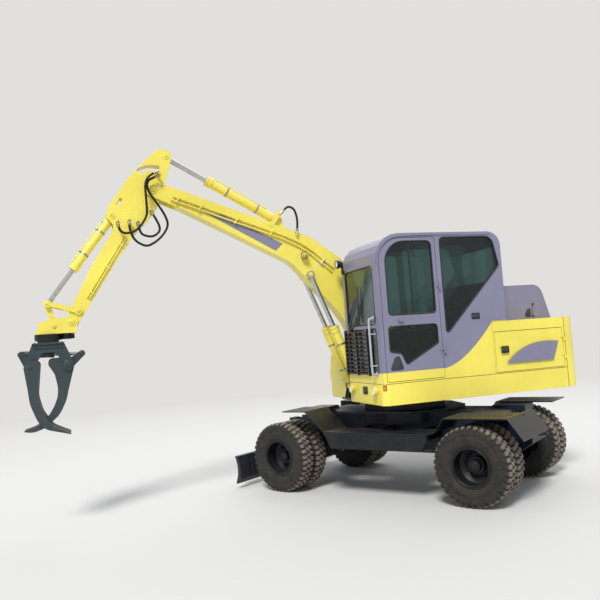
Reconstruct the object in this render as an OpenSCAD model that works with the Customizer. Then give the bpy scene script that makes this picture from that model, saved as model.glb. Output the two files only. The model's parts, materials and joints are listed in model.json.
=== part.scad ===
/* [Stance] */
// Turn of the wheeled chassis under the upper body, degrees to the right
chassis_turn = 54.6; // [0:0.1:90]
// Steering of the front wheels, degrees to the right
steer_turn = 4; // [0:0.5:10]

/* [Chassis] */
// Front axle ahead of the slew axis
front_axle_x = 1270; // [1240:1:1320]
// Rear axle behind the slew axis
rear_axle_x = 1244; // [1220:1:1300]
// Width over the outer tyre faces
track_w = 2132; // [2110:1:2180]
// Half width of the main girder
girder_half_w = 260; // [220:1:280]
// Underside of the main girder above the ground
girder_z = 470; // [450:1:500]
// Top of the main girder above the ground
girder_top_z = 790; // [770:1:810]
// Front end of the main girder
girder_front_x = 1640; // [1600:1:1660]
// Rear end of the main girder
girder_rear_x = 1660; // [1640:1:1700]
// Plate thickness of fenders and decks
plate_t = 12; // [8:1:16]
// Top of the front fenders
front_fender_z = 1015; // [1000:1:1030]
// Top of the rear fenders
rear_fender_z = 945; // [935:1:960]
// Top of the side step boxes
step_z = 765; // [750:1:780]
// Height of the side step boxes
step_h = 190; // [150:1:200]
// Outer edge of steps and fenders from the centre line
step_half_w = 1060; // [1040:1:1064]

/* [Wheels] */
// Outside diameter over the tyre lugs
tyre_d = 860; // [850:1:866]
// Lugs round one tyre
tyre_lugs = 34; // [20:1:40]
// Depth of the grooves between the lugs
groove_d = 20; // [14:1:24]
// Width of one tyre
tyre_w = 226; // [215:1:228]
// Gap between the twin tyres
twin_gap = 31; // [28:1:40]
// Rim diameter at the bead seat
rim_d = 412; // [400:1:420]
// Radius of the wheel spindles
spindle_r = 42; // [36:1:48]
// Running clearance of shafts in their bores
run_gap = 0.08; // [0.05:0.01:0.1]
// Kingpin distance from the centre line
kingpin_y = 480; // [470:1:490]

/* [Blade] */
// Blade pivot ahead of the slew axis
blade_pivot_x = 1560; // [1550:1:1570]
// Blade pivot above the ground
blade_pivot_z = 520; // [510:1:530]
// Width of the blade
blade_w = 2100; // [2000:1:2130]
// Front face of the blade ahead of the slew axis
blade_front_x = 2050; // [2040:1:2080]
// Lower edge of the raised blade above the ground
blade_low_z = 60; // [50:1:80]
// Height of the blade
blade_h = 360; // [330:1:380]

/* [Upper body] */
// Underside of the upper body above the ground
deck_z = 1086; // [1080:1:1100]
// Sill seam above the ground
sill_z = 1329; // [1310:1:1340]
// Half width of the upper body
upper_half_w = 976; // [960:1:990]
// Front of the upper body ahead of the slew axis
upper_front_x = 750; // [740:1:760]
// Seam of the counterweight behind the slew axis
weight_seam_x = 1750; // [1740:1:1770]
// Rear end of the counterweight behind the slew axis
weight_end_x = 1985; // [1960:1:2000]
// Top of the side panels and of the counterweight
panel_top_z = 1950; // [1940:1:1960]
// Front edge of the engine side panel behind the slew axis
panel_front_x = 722; // [710:1:730]
// Top of the raised engine hood
hood_top_z = 2390; // [2370:1:2400]
// Sheet thickness of the body panels
panel_t = 20; // [14:1:24]

/* [Cab] */
// Inner side of the cab from the centre line
cab_right_y = 0; // [-10:1:20]
// Roof of the cab above the ground
roof_z = 3036; // [3010:1:3050]
// Rear wall of the cab behind the slew axis
cab_rear_x = 930; // [920:1:940]
// Thickness of the cab walls
cab_t = 42; // [36:1:48]
// Front edge of the door ahead of the slew axis
door_front_x = 705; // [700:1:710]
// Rear edge of the door behind the slew axis
door_rear_x = 36; // [30:1:50]
// Gap around the door
door_gap = 6; // [5:1:8]

/* [Boom] */
// Boom foot pin ahead of the slew axis
boom_foot_x = 420; // [410:1:430]
// Boom foot pin above the ground
boom_foot_z = 1680; // [1670:1:1690]
// Length from the boom foot to the arm pin
boom_len = 3356; // [3330:1:3380]
// Slope of the line from foot to arm pin
boom_deg = 39; // [38:0.5:40]
// Width of the boom
boom_w = 200; // [190:1:210]
// Boom centre plane to the right of the centre line
boom_y = -200; // [-206:1:-194]
// Length from the arm pin to the tool pin
arm_len = 1808; // [1790:1:1830]
// Slope of the line from arm pin to tool pin
arm_deg = -57.2; // [-58:0.2:-56]
// Thickness of the side plates of boom and arm
web_t = 16; // [12:1:20]

/* [Cylinders] */
// Barrel diameter of the boom cylinders
boom_barrel_d = 108; // [100:1:112]
// Barrel diameter of the arm cylinder
arm_barrel_d = 112; // [104:1:116]
// Barrel diameter of the tool cylinder
tool_barrel_d = 98; // [90:1:102]
// Rod diameter as a share of the barrel diameter
rod_share = 0.56; // [0.5:0.01:0.6]

/* [Grapple] */
// Radius of the rotator
rotator_r = 142; // [136:1:150]
// Distance of each jaw pivot from the tool axis
jaw_half = 200; // [195:1:205]
// Jaw pivots below the tool pin
jaw_drop = 472; // [462:1:482]
// Thickness of one tine
tine_t = 44; // [36:1:48]
// Thickness of the grapple side plates
cheek_t = 20; // [16:1:24]

/* [Hidden] */

// Paint
yellow = "#ecd44f";
lavender = "#8683a5";
navy = "#1c2430";
steel = "#4e5f66";
black = "#232427";
chrome = "#c9ccd0";

// Fineness of round shapes
$fn = 48;
// Points on each rounded corner of an outline
corner_steps = 5;
// Small seat between pieces that touch
seat = 0.3;

// Plane geometry: a point is [along, up], and a corner is [along, up, radius]
function unit(v) = v / norm(v);
function turn(v, a) = [v.x * cos(a) - v.y * sin(a), v.x * sin(a) + v.y * cos(a)];
function wrap(a) = a > 180 ? a - 360 : a < -180 ? a + 360 : a;
function corner(p, q, s, r) =
    let (a = unit(p - q), b = unit(s - q), half = acos(a * b) / 2,
         c = q + unit(a + b) * r / sin(half),
         t0 = q + a * r / tan(half) - c, t1 = q + b * r / tan(half) - c,
         a0 = atan2(t0.y, t0.x), sweep = wrap(atan2(t1.y, t1.x) - a0))
    [for (i = [0:corner_steps]) c + r * [cos(a0 + sweep * i / corner_steps), sin(a0 + sweep * i / corner_steps)]];
function flat(p) = [p.x, p.y];
function rounded(path) = let (n = len(path))
    [for (i = [0:n - 1]) each path[i][2] == 0 ? [flat(path[i])]
        : corner(flat(path[(i + n - 1) % n]), flat(path[i]), flat(path[(i + 1) % n]), path[i][2])];

// The same outline, counter-clockwise, moved out by d
function out_of(a, b) = let (u = unit(b - a)) [u.y, -u.x];
function grow(path, d) = let (n = len(path))
    [for (i = [0:n - 1])
        let (p = flat(path[i]), n1 = out_of(flat(path[(i + n - 1) % n]), p), n2 = out_of(p, flat(path[(i + 1) % n])),
             q = p + (n1 + n2) * d / (1 + n1 * n2))
        [q.x, q.y, path[i][2] == 0 ? 0 : max(1, path[i][2] + d)]];

// A plate drawn in the side view, w thick and centred on y
module side_plate(w, y = 0) translate([0, y + w / 2, 0]) rotate([90, 0, 0]) linear_extrude(w) children();
// A round bar along Y at a side-view point
module cross_bar(p, r, w, y = 0) translate([p.x, y + w / 2, p.y]) rotate([90, 0, 0]) cylinder(h = w, r = r);
// A round bar from one side-view point to another
module long_bar(p, q, r, y = 0) translate([p.x, y, p.y]) rotate([0, atan2(q.x - p.x, q.y - p.y), 0])
    cylinder(h = norm(q - p), r = r);
// A box from its lowest to its highest corner
module block(lo, hi) translate(lo) cube(hi - lo);
// Both sides of the chassis
module both_sides() {
    children();
    mirror([0, 1, 0]) children();
}
module on_chassis() rotate([0, 0, -chassis_turn]) children();

// A round tube along a line of points, as one closed surface
function lean(p, i) = unit((i == 0 ? [0, 0, 0] : unit(p[i] - p[i - 1])) + (i == len(p) - 1 ? [0, 0, 0] : unit(p[i + 1] - p[i])));
function square_to(v, t) = unit(v - t * (v * t));
function sides_of(p, i, v) = i == len(p) ? [] : let (u = square_to(v, lean(p, i))) concat([u], sides_of(p, i + 1, u));
module tube(p, r, n = 10) {
    u = sides_of(p, 0, abs(lean(p, 0).z) < 0.9 ? [0, 0, 1] : [1, 0, 0]);
    last = (len(p) - 1) * n;
    polyhedron([for (i = [0:len(p) - 1], k = [0:n - 1])
            p[i] + r * (u[i] * cos(360 * k / n) + cross(lean(p, i), u[i]) * sin(360 * k / n))],
        concat([[for (k = [0:n - 1]) k]], [[for (k = [n - 1:-1:0]) last + k]],
            [for (i = [0:len(p) - 2], k = [0:n - 1]) [i * n + k, i * n + n + k, i * n + n + (k + 1) % n, i * n + (k + 1) % n]]));
}

// A free hose: a smooth line through its corners in the side view, in the plane y
hose_r = 14;
port_len = 42;
function smooth(c) = concat([for (i = [0:len(c) - 2], half = [false, true]) half ?
    (9 * (c[i] + c[i + 1]) - c[max(i - 1, 0)] - c[min(i + 2, len(c) - 1)]) / 16 : c[i]], [c[len(c) - 1]]);
module hose(line, y) color(black) tube([for (p = smooth(line)) [p.x, y, p.y]], hose_r);
// The fittings that its two ends meet, on the plate whose outer face is at face_y
module ports(line, y, face_y) let (s = smooth(line), n = len(s) - 1)
    for (e = [[s[0], unit(s[0] - s[1])], [s[n], unit(s[n] - s[n - 1])]]) {
        long_bar(e[0] + e[1] * seat, e[0] + e[1] * port_len, hose_r + 4, y);
        cross_bar(e[0] + e[1] * port_len / 2, hose_r + 2, y - face_y + 10, (y + face_y - 10) / 2);
    }

// Points of the linkage in the side view
boom_foot = [boom_foot_x, boom_foot_z];
arm_pin = boom_foot + turn([boom_len, 0], boom_deg);
tool_pin = arm_pin + turn([arm_len, 0], arm_deg);
function on_boom(u, v) = boom_foot + turn([u, v], boom_deg);
function on_arm(u, v) = arm_pin + turn([u, v], arm_deg);
boom_cyl_foot = [590, 1250];
boom_cyl_eye = on_boom(0.36 * boom_len, 333);
arm_cyl_foot_uv = [0.573 * boom_len, 665];
arm_cyl_foot = on_boom(arm_cyl_foot_uv.x, arm_cyl_foot_uv.y);
arm_cyl_eye = on_arm(-434, 66);
tool_cyl_foot = on_arm(0.287 * arm_len, 232);
lever_pin = on_arm(arm_len - 149, 6);
lever_eye = on_arm(arm_len - 48, 331);
link_pin = on_arm(arm_len + 131, 143);
tool_x = tool_pin.x + 262;
eye_r = 52;

// Chassis
axle_z = tyre_d / 2;
tread_r = tyre_d / 2 - groove_d;
lug_half = tyre_w / 2 - 15;
arch_h = 190;
twin_w = 2 * tyre_w + twin_gap;
twin_in_y = track_w / 2 - twin_w;
ring_r = 480;
ring_top_z = deck_z - 36;
steps_in_y = 640;
fender_in_y = twin_in_y - 30;
fender_end_x = rear_axle_x + tyre_d / 2 + 5;
blade_cyl_foot = [blade_pivot_x + 135, blade_pivot_z + 270];
blade_cyl_eye = [blade_front_x - 130, blade_low_z + 250];
blade_pin_r = 30;
blade_pin_half = girder_half_w + 62;
tow_x = girder_rear_x + 60;
tow_z = 640;
tow_t = 30;
tow_r = 20;

module chassis_frame() color(navy) on_chassis() {
    side_plate(2 * girder_half_w) difference() {
        polygon([[-girder_rear_x, girder_z + 100], [-girder_rear_x + 160, girder_z], [girder_front_x - 160, girder_z],
            [girder_front_x, girder_z + 90], [girder_front_x, girder_top_z], [front_axle_x - 60, front_fender_z - 85],
            [-rear_axle_x + 200, rear_fender_z - 20], [-girder_rear_x, girder_top_z]]);
        for (x = [front_axle_x, -rear_axle_x])
            polygon([[x - 280, girder_z - 1], [x + 280, girder_z - 1], [x + 190, axle_z + arch_h], [x - 190, axle_z + arch_h]]);
    }
    // Deck plate around the slew ring
    translate([0, 0, front_fender_z - 86]) linear_extrude(30) polygon([
        [980, 240], [660, 600], [-360, 600], [-700, 240], [-700, -240], [-360, -600], [660, -600], [980, -240]]);
    // Pedestal and lower half of the slew ring
    translate([0, 0, girder_top_z]) cylinder(h = ring_top_z - girder_top_z - 30, r = ring_r + 60, $fn = 8);
    translate([0, 0, girder_top_z]) cylinder(h = ring_top_z - girder_top_z, r = ring_r);
    // Outriggers that carry the side steps
    both_sides() for (x = [-480, 60, 400]) block([x - 20, girder_half_w - 10, step_z - step_h + 30], [x + 20, steps_in_y, step_z - 20]);
    // Brackets that carry the front fenders
    both_sides() block([front_axle_x - 400, girder_half_w - 20, front_fender_z - 86],
        [front_axle_x - 120, fender_in_y, front_fender_z - plate_t]);
    both_sides() block([-rear_axle_x - 200, girder_half_w - 20, rear_fender_z - 80],
        [-rear_axle_x + 200, fender_in_y, rear_fender_z - plate_t]);
    // Shaft of the blade arms
    cross_bar([blade_pivot_x, blade_pivot_z], blade_pin_r, 2 * blade_pin_half);
    // Tow plate at the rear
    difference() {
        translate([0, 0, tow_z - tow_t / 2]) linear_extrude(tow_t) union() {
            polygon([[-girder_rear_x + 20, -90], [-girder_rear_x + 20, 90], [-tow_x, 45], [-tow_x, -45]]);
            translate([-tow_x, 0]) circle(r = 45);
        }
        translate([-tow_x, 0, 0]) cylinder(h = 1000, r = tow_r);
    }
    // Lugs of the blade cylinders
    for (s = [-1, 1], e = [-1, 1]) difference() {
        side_plate(14, s * 150 + e * 50) polygon([[girder_front_x - 20, girder_top_z - 110],
            [blade_cyl_foot.x + 34, blade_cyl_foot.y - 40], [blade_cyl_foot.x + 34, blade_cyl_foot.y + 34],
            [girder_front_x - 20, blade_cyl_foot.y + 34]]);
        cross_bar(blade_cyl_foot, 16 + run_gap, 60, s * 150 + e * 50);
    }
}

// A bent plate: the line of its upper face, its thickness below and its span across
module bent_plate(line, t, y0, y1) translate([0, y1, 0]) rotate([90, 0, 0]) linear_extrude(y1 - y0)
    polygon(concat(line, [for (i = [len(line) - 1:-1:0]) line[i] - [0, t * 1.15]]));

module fenders_steps() color(black) on_chassis() {
    both_sides() {
        // Step box between the wheels
        side_plate(step_half_w - steps_in_y, (step_half_w + steps_in_y) / 2) polygon([
            [-770, step_z], [600, step_z], [560, step_z - 60], [500, step_z - step_h],
            [-680, step_z - step_h], [-770, step_z - 70]]);
        // Front fender: flat top, then down to the step box
        bent_plate([[front_axle_x - 80, front_fender_z], [front_axle_x - 420, front_fender_z], [590, step_z + 10],
            [560, step_z - 5]], plate_t, fender_in_y, step_half_w);
    }
    // Rear fenders
    both_sides() bent_plate([[-730, step_z - 10], [-870, step_z + 35], [-976, rear_fender_z], [-fender_end_x, rear_fender_z]],
        plate_t, fender_in_y, step_half_w);
    // Tail plate behind the left rear wheels
    bent_plate([[-fender_end_x + 29, rear_fender_z], [-fender_end_x, rear_fender_z], [-fender_end_x - 151, rear_fender_z - 215]],
        plate_t, 200, step_half_w);
    block([-fender_end_x - 21, 200, rear_fender_z - 90], [-fender_end_x + 29, fender_in_y + 10, rear_fender_z - plate_t]);
}

knuckle_half = 94;
module axle_beam() {
    rotate([90, 0, 0]) cylinder(h = 2 * (kingpin_y - 75), r = 72, center = true);
    rotate([90, 0, 0]) rotate_extrude() polygon([[0, -210], [90, -210], [150, -90], [170, 0], [150, 90], [90, 210], [0, 210]]);
}
// Drive line: the input of each axle head faces the middle, below the girder
drive_z = -28;
input_x = 190;
gearbox_x = 400;
module front_axle_input() translate([-input_x, 0, drive_z]) rotate([0, 90, 0]) cylinder(h = 120, r = 58);
module gearbox() side_plate(230) polygon(rounded([[60, -120, 30], [gearbox_x - 40, -104, 30], [gearbox_x, -70, 30],
    [gearbox_x, 26, 20], [60, 26, 0]]));
module drive_shaft() color(steel) on_chassis() let (from = -rear_axle_x + gearbox_x + seat, to = front_axle_x - input_x - seat)
    translate([from, 0, axle_z + drive_z]) rotate([0, 90, 0]) {
        cylinder(h = to - from, r = 32);
        for (x = [0, to - from - 70]) translate([0, 0, x]) cylinder(h = 70, r = 52);
    }
module spring_pads() both_sides() block([-90, girder_half_w - 110, 40], [90, girder_half_w - 30, arch_h - seat]);

module front_axle() color(navy) on_chassis() translate([front_axle_x, 0, axle_z]) {
    axle_beam();
    front_axle_input();
    spring_pads();
    both_sides() difference() {
        union() {
            block([-60, kingpin_y - 100, -knuckle_half - 26], [60, kingpin_y - 74, knuckle_half + 26]);
            for (z = [knuckle_half + 1, -knuckle_half - 26]) translate([0, 0, z]) linear_extrude(25) union() {
                translate([-45, kingpin_y - 100]) square([90, 100]);
                translate([0, kingpin_y]) circle(r = 45);
            }
        }
        translate([0, kingpin_y, 0]) cylinder(h = 400, r = 20 + run_gap, center = true);
    }
}

module rear_axle() color(navy) on_chassis() translate([-rear_axle_x, 0, axle_z]) {
    axle_beam();
    gearbox();
    spring_pads();
    both_sides() {
        rotate([-90, 0, 0]) cylinder(h = flange_y + 2, r = 62);
        spindle();
    }
}

// Flange and spindle that carry a wheel, from the kingpin outwards
flange_y = kingpin_y + 65;
module spindle() {
    translate([0, flange_y, 0]) rotate([-90, 0, 0]) cylinder(h = 15, r = 105);
    translate([0, flange_y, 0]) rotate([-90, 0, 0]) cylinder(h = 340, r = spindle_r);
}

// Place of one wheel pair: the outside is +Y, steered about the kingpin
module at_corner(x, side, steer = 0) on_chassis() translate([x, 0, axle_z]) mirror([0, side < 0 ? 1 : 0, 0])
    translate([0, kingpin_y, 0]) rotate([0, 0, -side * steer]) translate([0, -kingpin_y, 0]) children();

module knuckle() color(steel) {
    translate([0, kingpin_y, 0]) {
        cylinder(h = 2 * knuckle_half + 54, r = 20, center = true);
        cylinder(h = 2 * knuckle_half, r = 55, center = true);
        rotate([-90, 0, 0]) cylinder(h = 70, r = 62);
    }
    spindle();
}
module knuckle_left() at_corner(front_axle_x, 1, steer_turn) knuckle();
module knuckle_right() at_corner(front_axle_x, -1, steer_turn) knuckle();

rim_r = rim_d / 2;
bead_half = 84;
bulge_r = (rim_r + tyre_d / 2) / 2 - 14;
// Half width of the seat cone of a bead at radius r
function bead(r) = bead_half + (tyre_w / 2 - bead_half) * (r - rim_r) / (bulge_r - rim_r);
lug_pitch = 360 / tyre_lugs;
lug_share = 0.34;
lug_tip_r = tyre_d / 2 / cos(lug_share * lug_pitch);
module tyre_pair() color("#3a3733") for (i = [0, 1])
    translate([0, twin_in_y + tyre_w / 2 + i * (tyre_w + twin_gap), 0]) rotate([90, 0, 0]) {
        rotate_extrude($fn = 28) polygon([[rim_r + seat, -bead_half], [bulge_r, -tyre_w / 2], [tread_r - 3, -lug_half],
            [tread_r - 3, lug_half], [bulge_r, tyre_w / 2], [rim_r + seat, bead_half]]);
        // Tread: each lug is flat on top, with a V groove after it
        translate([0, 0, -lug_half]) linear_extrude(2 * lug_half) difference() {
            polygon([for (k = [0:tyre_lugs - 1], p = [[-lug_share, lug_tip_r], [lug_share, lug_tip_r], [0.5, tread_r]])
                turn([p.y, 0], 270 + (k + p.x) * lug_pitch)]);
            circle(r = tread_r - 40, $fn = 28);
        }
    }

mid_y = twin_in_y + tyre_w + twin_gap / 2;
module rim_pair() color(black) difference() {
    union() {
        for (i = [0, 1]) translate([0, twin_in_y + tyre_w / 2 + i * (tyre_w + twin_gap), 0]) rotate([90, 0, 0])
            rotate_extrude($fn = 64) let (lip_r = rim_r + 17, lip = bead(lip_r) + seat, rim_half = bead_half + 14)
                polygon([[rim_r - 12, -rim_half], [lip_r, -rim_half], [lip_r, -lip], [rim_r, -bead_half - seat],
                    [rim_r, bead_half + seat], [lip_r, lip], [lip_r, rim_half], [rim_r - 12, rim_half]]);
        // Dished discs bolted back to back
        translate([0, mid_y, 0]) rotate([90, 0, 0]) rotate_extrude($fn = 64) polygon([
            [0, -14], [120, -14], [rim_r - 11, -60], [rim_r - 11, -44], [120, 0], [rim_r - 11, 44], [rim_r - 11, 60],
            [120, 14], [0, 14]]);
        // Hub
        translate([0, flange_y + 16, 0]) rotate([-90, 0, 0]) cylinder(h = mid_y - flange_y + 60, r = 92);
        translate([0, mid_y + 70, 0]) rotate([-90, 0, 0]) cylinder(h = 60, r = 62);
    }
    translate([0, flange_y + 10, 0]) rotate([-90, 0, 0]) cylinder(h = 340, r = spindle_r + run_gap);
}
module tyres_front_left() at_corner(front_axle_x, 1, steer_turn) tyre_pair();
module tyres_front_right() at_corner(front_axle_x, -1, steer_turn) tyre_pair();
module tyres_rear_left() at_corner(-rear_axle_x, 1) tyre_pair();
module tyres_rear_right() at_corner(-rear_axle_x, -1) tyre_pair();
module rims_front_left() at_corner(front_axle_x, 1, steer_turn) rim_pair();
module rims_front_right() at_corner(front_axle_x, -1, steer_turn) rim_pair();
module rims_rear_left() at_corner(-rear_axle_x, 1) rim_pair();
module rims_rear_right() at_corner(-rear_axle_x, -1) rim_pair();

// Blade with its arms, lifted clear of the ground
blade_back_x = blade_front_x - 90;
module blade() color(navy) on_chassis() {
    side_plate(blade_w) difference() {
        polygon([[blade_front_x, blade_low_z], [blade_front_x, blade_low_z + blade_h], [blade_back_x + 30, blade_low_z + blade_h],
            [blade_back_x, blade_low_z + blade_h * 0.7], [blade_back_x, blade_low_z + 60], [blade_front_x - 30, blade_low_z]]);
        translate([blade_front_x + 400, blade_low_z + blade_h / 2]) circle(r = 445, $fn = 96);
    }
    difference() {
        union() {
            both_sides() side_plate(36, girder_half_w + 30) polygon([
                [blade_pivot_x - 45, blade_pivot_z - 30], [blade_pivot_x - 20, blade_pivot_z + 48], [blade_pivot_x + 45, blade_pivot_z + 48],
                [blade_back_x + 5, blade_low_z + blade_h * 0.62], [blade_back_x + 5, blade_low_z + 50], [blade_pivot_x + 60, blade_pivot_z - 50]]);
            // Cross tube between the arms
            cross_bar([blade_back_x - 70, blade_low_z + 130], 45, 2 * girder_half_w + 60);
            for (s = [-1, 1], e = [-1, 1]) side_plate(14, s * 150 + e * 38) polygon([
                [blade_back_x + 5, blade_low_z + 180], [blade_cyl_eye.x - 40, blade_cyl_eye.y - 60],
                [blade_cyl_eye.x - 34, blade_cyl_eye.y + 30], [blade_back_x + 5, blade_cyl_eye.y + 20]]);
        }
        cross_bar([blade_pivot_x, blade_pivot_z], blade_pin_r + run_gap, 2 * blade_pin_half);
    }
}
blade_barrel_r = 38;
blade_rod_r = 21;
module blade_barrels() color(navy) on_chassis() for (s = [-1, 1]) difference() {
    union() {
        cross_bar(blade_cyl_foot, 34, 76, s * 150);
        cross_bar(blade_cyl_foot, 16, 124, s * 150);
        long_bar(blade_cyl_foot, blade_cyl_foot + unit(blade_cyl_eye - blade_cyl_foot) * 300, blade_barrel_r, s * 150);
    }
    long_bar(blade_cyl_foot + unit(blade_cyl_eye - blade_cyl_foot) * 45,
        blade_cyl_foot + unit(blade_cyl_eye - blade_cyl_foot) * 310, blade_rod_r + run_gap, s * 150);
}
module blade_rods() color(chrome) on_chassis() for (s = [-1, 1]) {
    long_bar(blade_cyl_foot + unit(blade_cyl_eye - blade_cyl_foot) * 170, blade_cyl_eye, blade_rod_r, s * 150);
    cross_bar(blade_cyl_eye, 30, 50, s * 150);
}

// Upper body
bracket_t = 25;
bracket_gap = 6;
boom_pin_r = 35;
boom_barrel_y = boom_w / 2 + 36;
module boom_bracket() difference() {
    union() {
        polygon([[120, deck_z + 20], [boom_foot_x + 95, deck_z + 20], [boom_foot_x + 110, boom_foot_z + 10],
            [boom_foot_x - 110, boom_foot_z + 10]]);
        translate(boom_foot) circle(r = 112);
    }
    translate(boom_foot) circle(r = boom_pin_r + run_gap);
}
module upper_frame() color(black) {
    // Upper half of the slew ring
    translate([0, 0, ring_top_z + seat]) cylinder(h = deck_z - ring_top_z - seat, r = ring_r - 20);
    // Floor plate
    translate([0, 0, deck_z]) linear_extrude(24) skirt_outline(panel_t + seat);
    block([slot_back_x - 60, slot_right_y + seat, deck_z], [700, cab_right_y - seat, deck_z + 24]);
    // Housing of valves and hoses between the cab and the right cover
    side_plate(cab_right_y - slot_right_y - 20, (cab_right_y + slot_right_y) / 2) polygon(rounded([
        [-cab_rear_x, deck_z + 20, 0], [60, deck_z + 20, 0], [60, sill_z + 60, 40], [-120, panel_top_z - 120, 80],
        [-cab_rear_x, panel_top_z - 40, 0]]));
    // Brackets of the boom foot
    for (s = [-1, 1]) side_plate(bracket_t, boom_y + s * (boom_w / 2 + bracket_gap + bracket_t / 2)) boom_bracket();
    // Longitudinal beams under the engine
    for (s = [-1, 1]) block([-weight_seam_x + 40, s * 330 - 30, deck_z + 20], [120, s * 330 + 30, deck_z + 160]);
    // Lugs of the boom cylinders
    for (s = [-1, 1], e = [-1, 1]) difference() {
        side_plate(16, boom_y + s * boom_barrel_y + e * 42) union() {
            polygon([[boom_cyl_foot.x - 110, deck_z + 20], [boom_cyl_foot.x + 90, deck_z + 20],
                [boom_cyl_foot.x + 50, boom_cyl_foot.y], [boom_cyl_foot.x - 50, boom_cyl_foot.y]]);
            translate(boom_cyl_foot) circle(r = 50);
        }
        cross_bar(boom_cyl_foot, 24 + run_gap, 40, boom_y + s * boom_barrel_y + e * 42);
    }
}
// Plan of the skirt, drawn in by a margin; corners run counter-clockwise
slot_right_y = -430;
slot_back_x = 90;
right_front_x = 640;
module skirt_outline(in = 0) polygon(rounded(grow([
    [-weight_seam_x, upper_half_w, 0], [-weight_seam_x, -upper_half_w, 0], [right_front_x, -upper_half_w, 60],
    [right_front_x, slot_right_y, 0], [slot_back_x, slot_right_y, 0], [slot_back_x, cab_right_y, 0],
    [upper_front_x, cab_right_y, 0], [upper_front_x, upper_half_w - 70, 40], [upper_front_x - 50, upper_half_w, 40]], -in)));
module body_skirt() color(yellow) translate([0, 0, deck_z]) linear_extrude(sill_z - deck_z) difference() {
    skirt_outline();
    skirt_outline(panel_t);
    // Open behind the boom brackets, where the floor plate runs on
    translate([slot_back_x - panel_t - 1, slot_right_y]) square([panel_t + 2, cab_right_y - slot_right_y]);
}
hood_hinge = [-weight_seam_x - 104, panel_top_z + 14];
hood_hinge_ys = [380, -700];
module counterweight() color(yellow) {
    intersection() {
        translate([0, 0, deck_z]) linear_extrude(panel_top_z - deck_z) polygon(rounded([
            [-weight_seam_x - seat, upper_half_w, 0], [-weight_end_x + 40, upper_half_w - 30, 160], [-weight_end_x, 300, 300],
            [-weight_end_x, -300, 300], [-weight_end_x + 40, -upper_half_w + 30, 160], [-weight_seam_x - seat, -upper_half_w, 0]]));
        // Tail seen from the side: it leans in to the top and to the foot
        side_plate(3 * upper_half_w) polygon(rounded([[-weight_seam_x + 10, deck_z - 10, 0], [-weight_seam_x + 10, panel_top_z + 10, 0],
            [hood_hinge.x - 36, panel_top_z + 10, 0], [-weight_end_x, panel_top_z - 300, 350], [-weight_end_x, deck_z + 130, 200],
            [-weight_end_x + 90, deck_z - 10, 0]]));
    }
    // Fixed half of the hood hinges with their pins
    for (y = hood_hinge_ys) {
        cross_bar(hood_hinge, 10, 50, y);
        cross_bar(hood_hinge, 5, 104, y + 25);
        block([hood_hinge.x - 10, y - 25, panel_top_z - 1], [hood_hinge.x + 10, y + 25, hood_hinge.y]);
    }
}
// Side panel of the engine bay, with the opening of its service door
service_front_x = panel_front_x + 14;
service_rear_x = weight_seam_x - 30;
service_top_z = 1826;
service_hinge = [-service_rear_x - 8, upper_half_w + 9];
service_hinge_zs = [1440, 1660];
module left_panel() color(yellow) {
    side_plate(panel_t, upper_half_w - panel_t / 2) difference() {
        polygon([[-panel_front_x, sill_z + seat], [-panel_front_x, panel_top_z], [-weight_seam_x, panel_top_z],
            [-weight_seam_x, sill_z + seat]]);
        translate([-service_rear_x, sill_z + 10]) square([service_rear_x - service_front_x, service_top_z - sill_z - 10]);
    }
    for (z = service_hinge_zs) hinge_fixed([service_hinge.x, service_hinge.y, z], 8, upper_half_w - 1);
    // Deck beside the hood
    block([-weight_seam_x, hood_left_y - 40, panel_top_z - panel_t], [-panel_front_x, upper_half_w - 1, panel_top_z]);
}
module service_door() color(yellow) {
    side_plate(panel_t - 2, upper_half_w - panel_t / 2) translate([-service_rear_x + door_gap, sill_z + 10 + door_gap])
        square([service_rear_x - service_front_x - 2 * door_gap, service_top_z - sill_z - 10 - 2 * door_gap]);
    for (z = service_hinge_zs) hinge_moving([service_hinge.x, service_hinge.y, z], 8, upper_half_w - 2);
}
// Raised hood over the engine, behind the cab
hood_left_y = 640;
hood_right_y = -upper_half_w + 40;
hood_path = [[-weight_seam_x - 90, panel_top_z + seat, 0], [-cab_rear_x - 12, panel_top_z + seat, 0],
    [-cab_rear_x - 12, hood_top_z, 0], [-weight_seam_x + 40, hood_top_z, 150]];
module engine_hood() color(lavender) difference() {
    union() {
        side_plate(hood_left_y - hood_right_y, (hood_left_y + hood_right_y) / 2) polygon(rounded(hood_path));
        for (y = hood_hinge_ys) {
            cross_bar(hood_hinge, 10, 48, y + 50);
            block([hood_hinge.x, y + 26, panel_top_z + 4], [hood_hinge.x + 30, y + 74, panel_top_z + 12]);
        }
    }
    for (y = hood_hinge_ys) cross_bar(hood_hinge, 5 + run_gap, 60, y + 50);
    side_plate(hood_left_y - hood_right_y - 2 * panel_t, (hood_left_y + hood_right_y) / 2)
        translate([0, -panel_t - 5]) polygon(rounded(grow(hood_path, -panel_t)));
    block([-weight_seam_x - 60, hood_right_y + panel_t, panel_top_z - 30], [-cab_rear_x - 12 - panel_t, hood_left_y - panel_t, panel_top_z + 60]);
}
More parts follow.
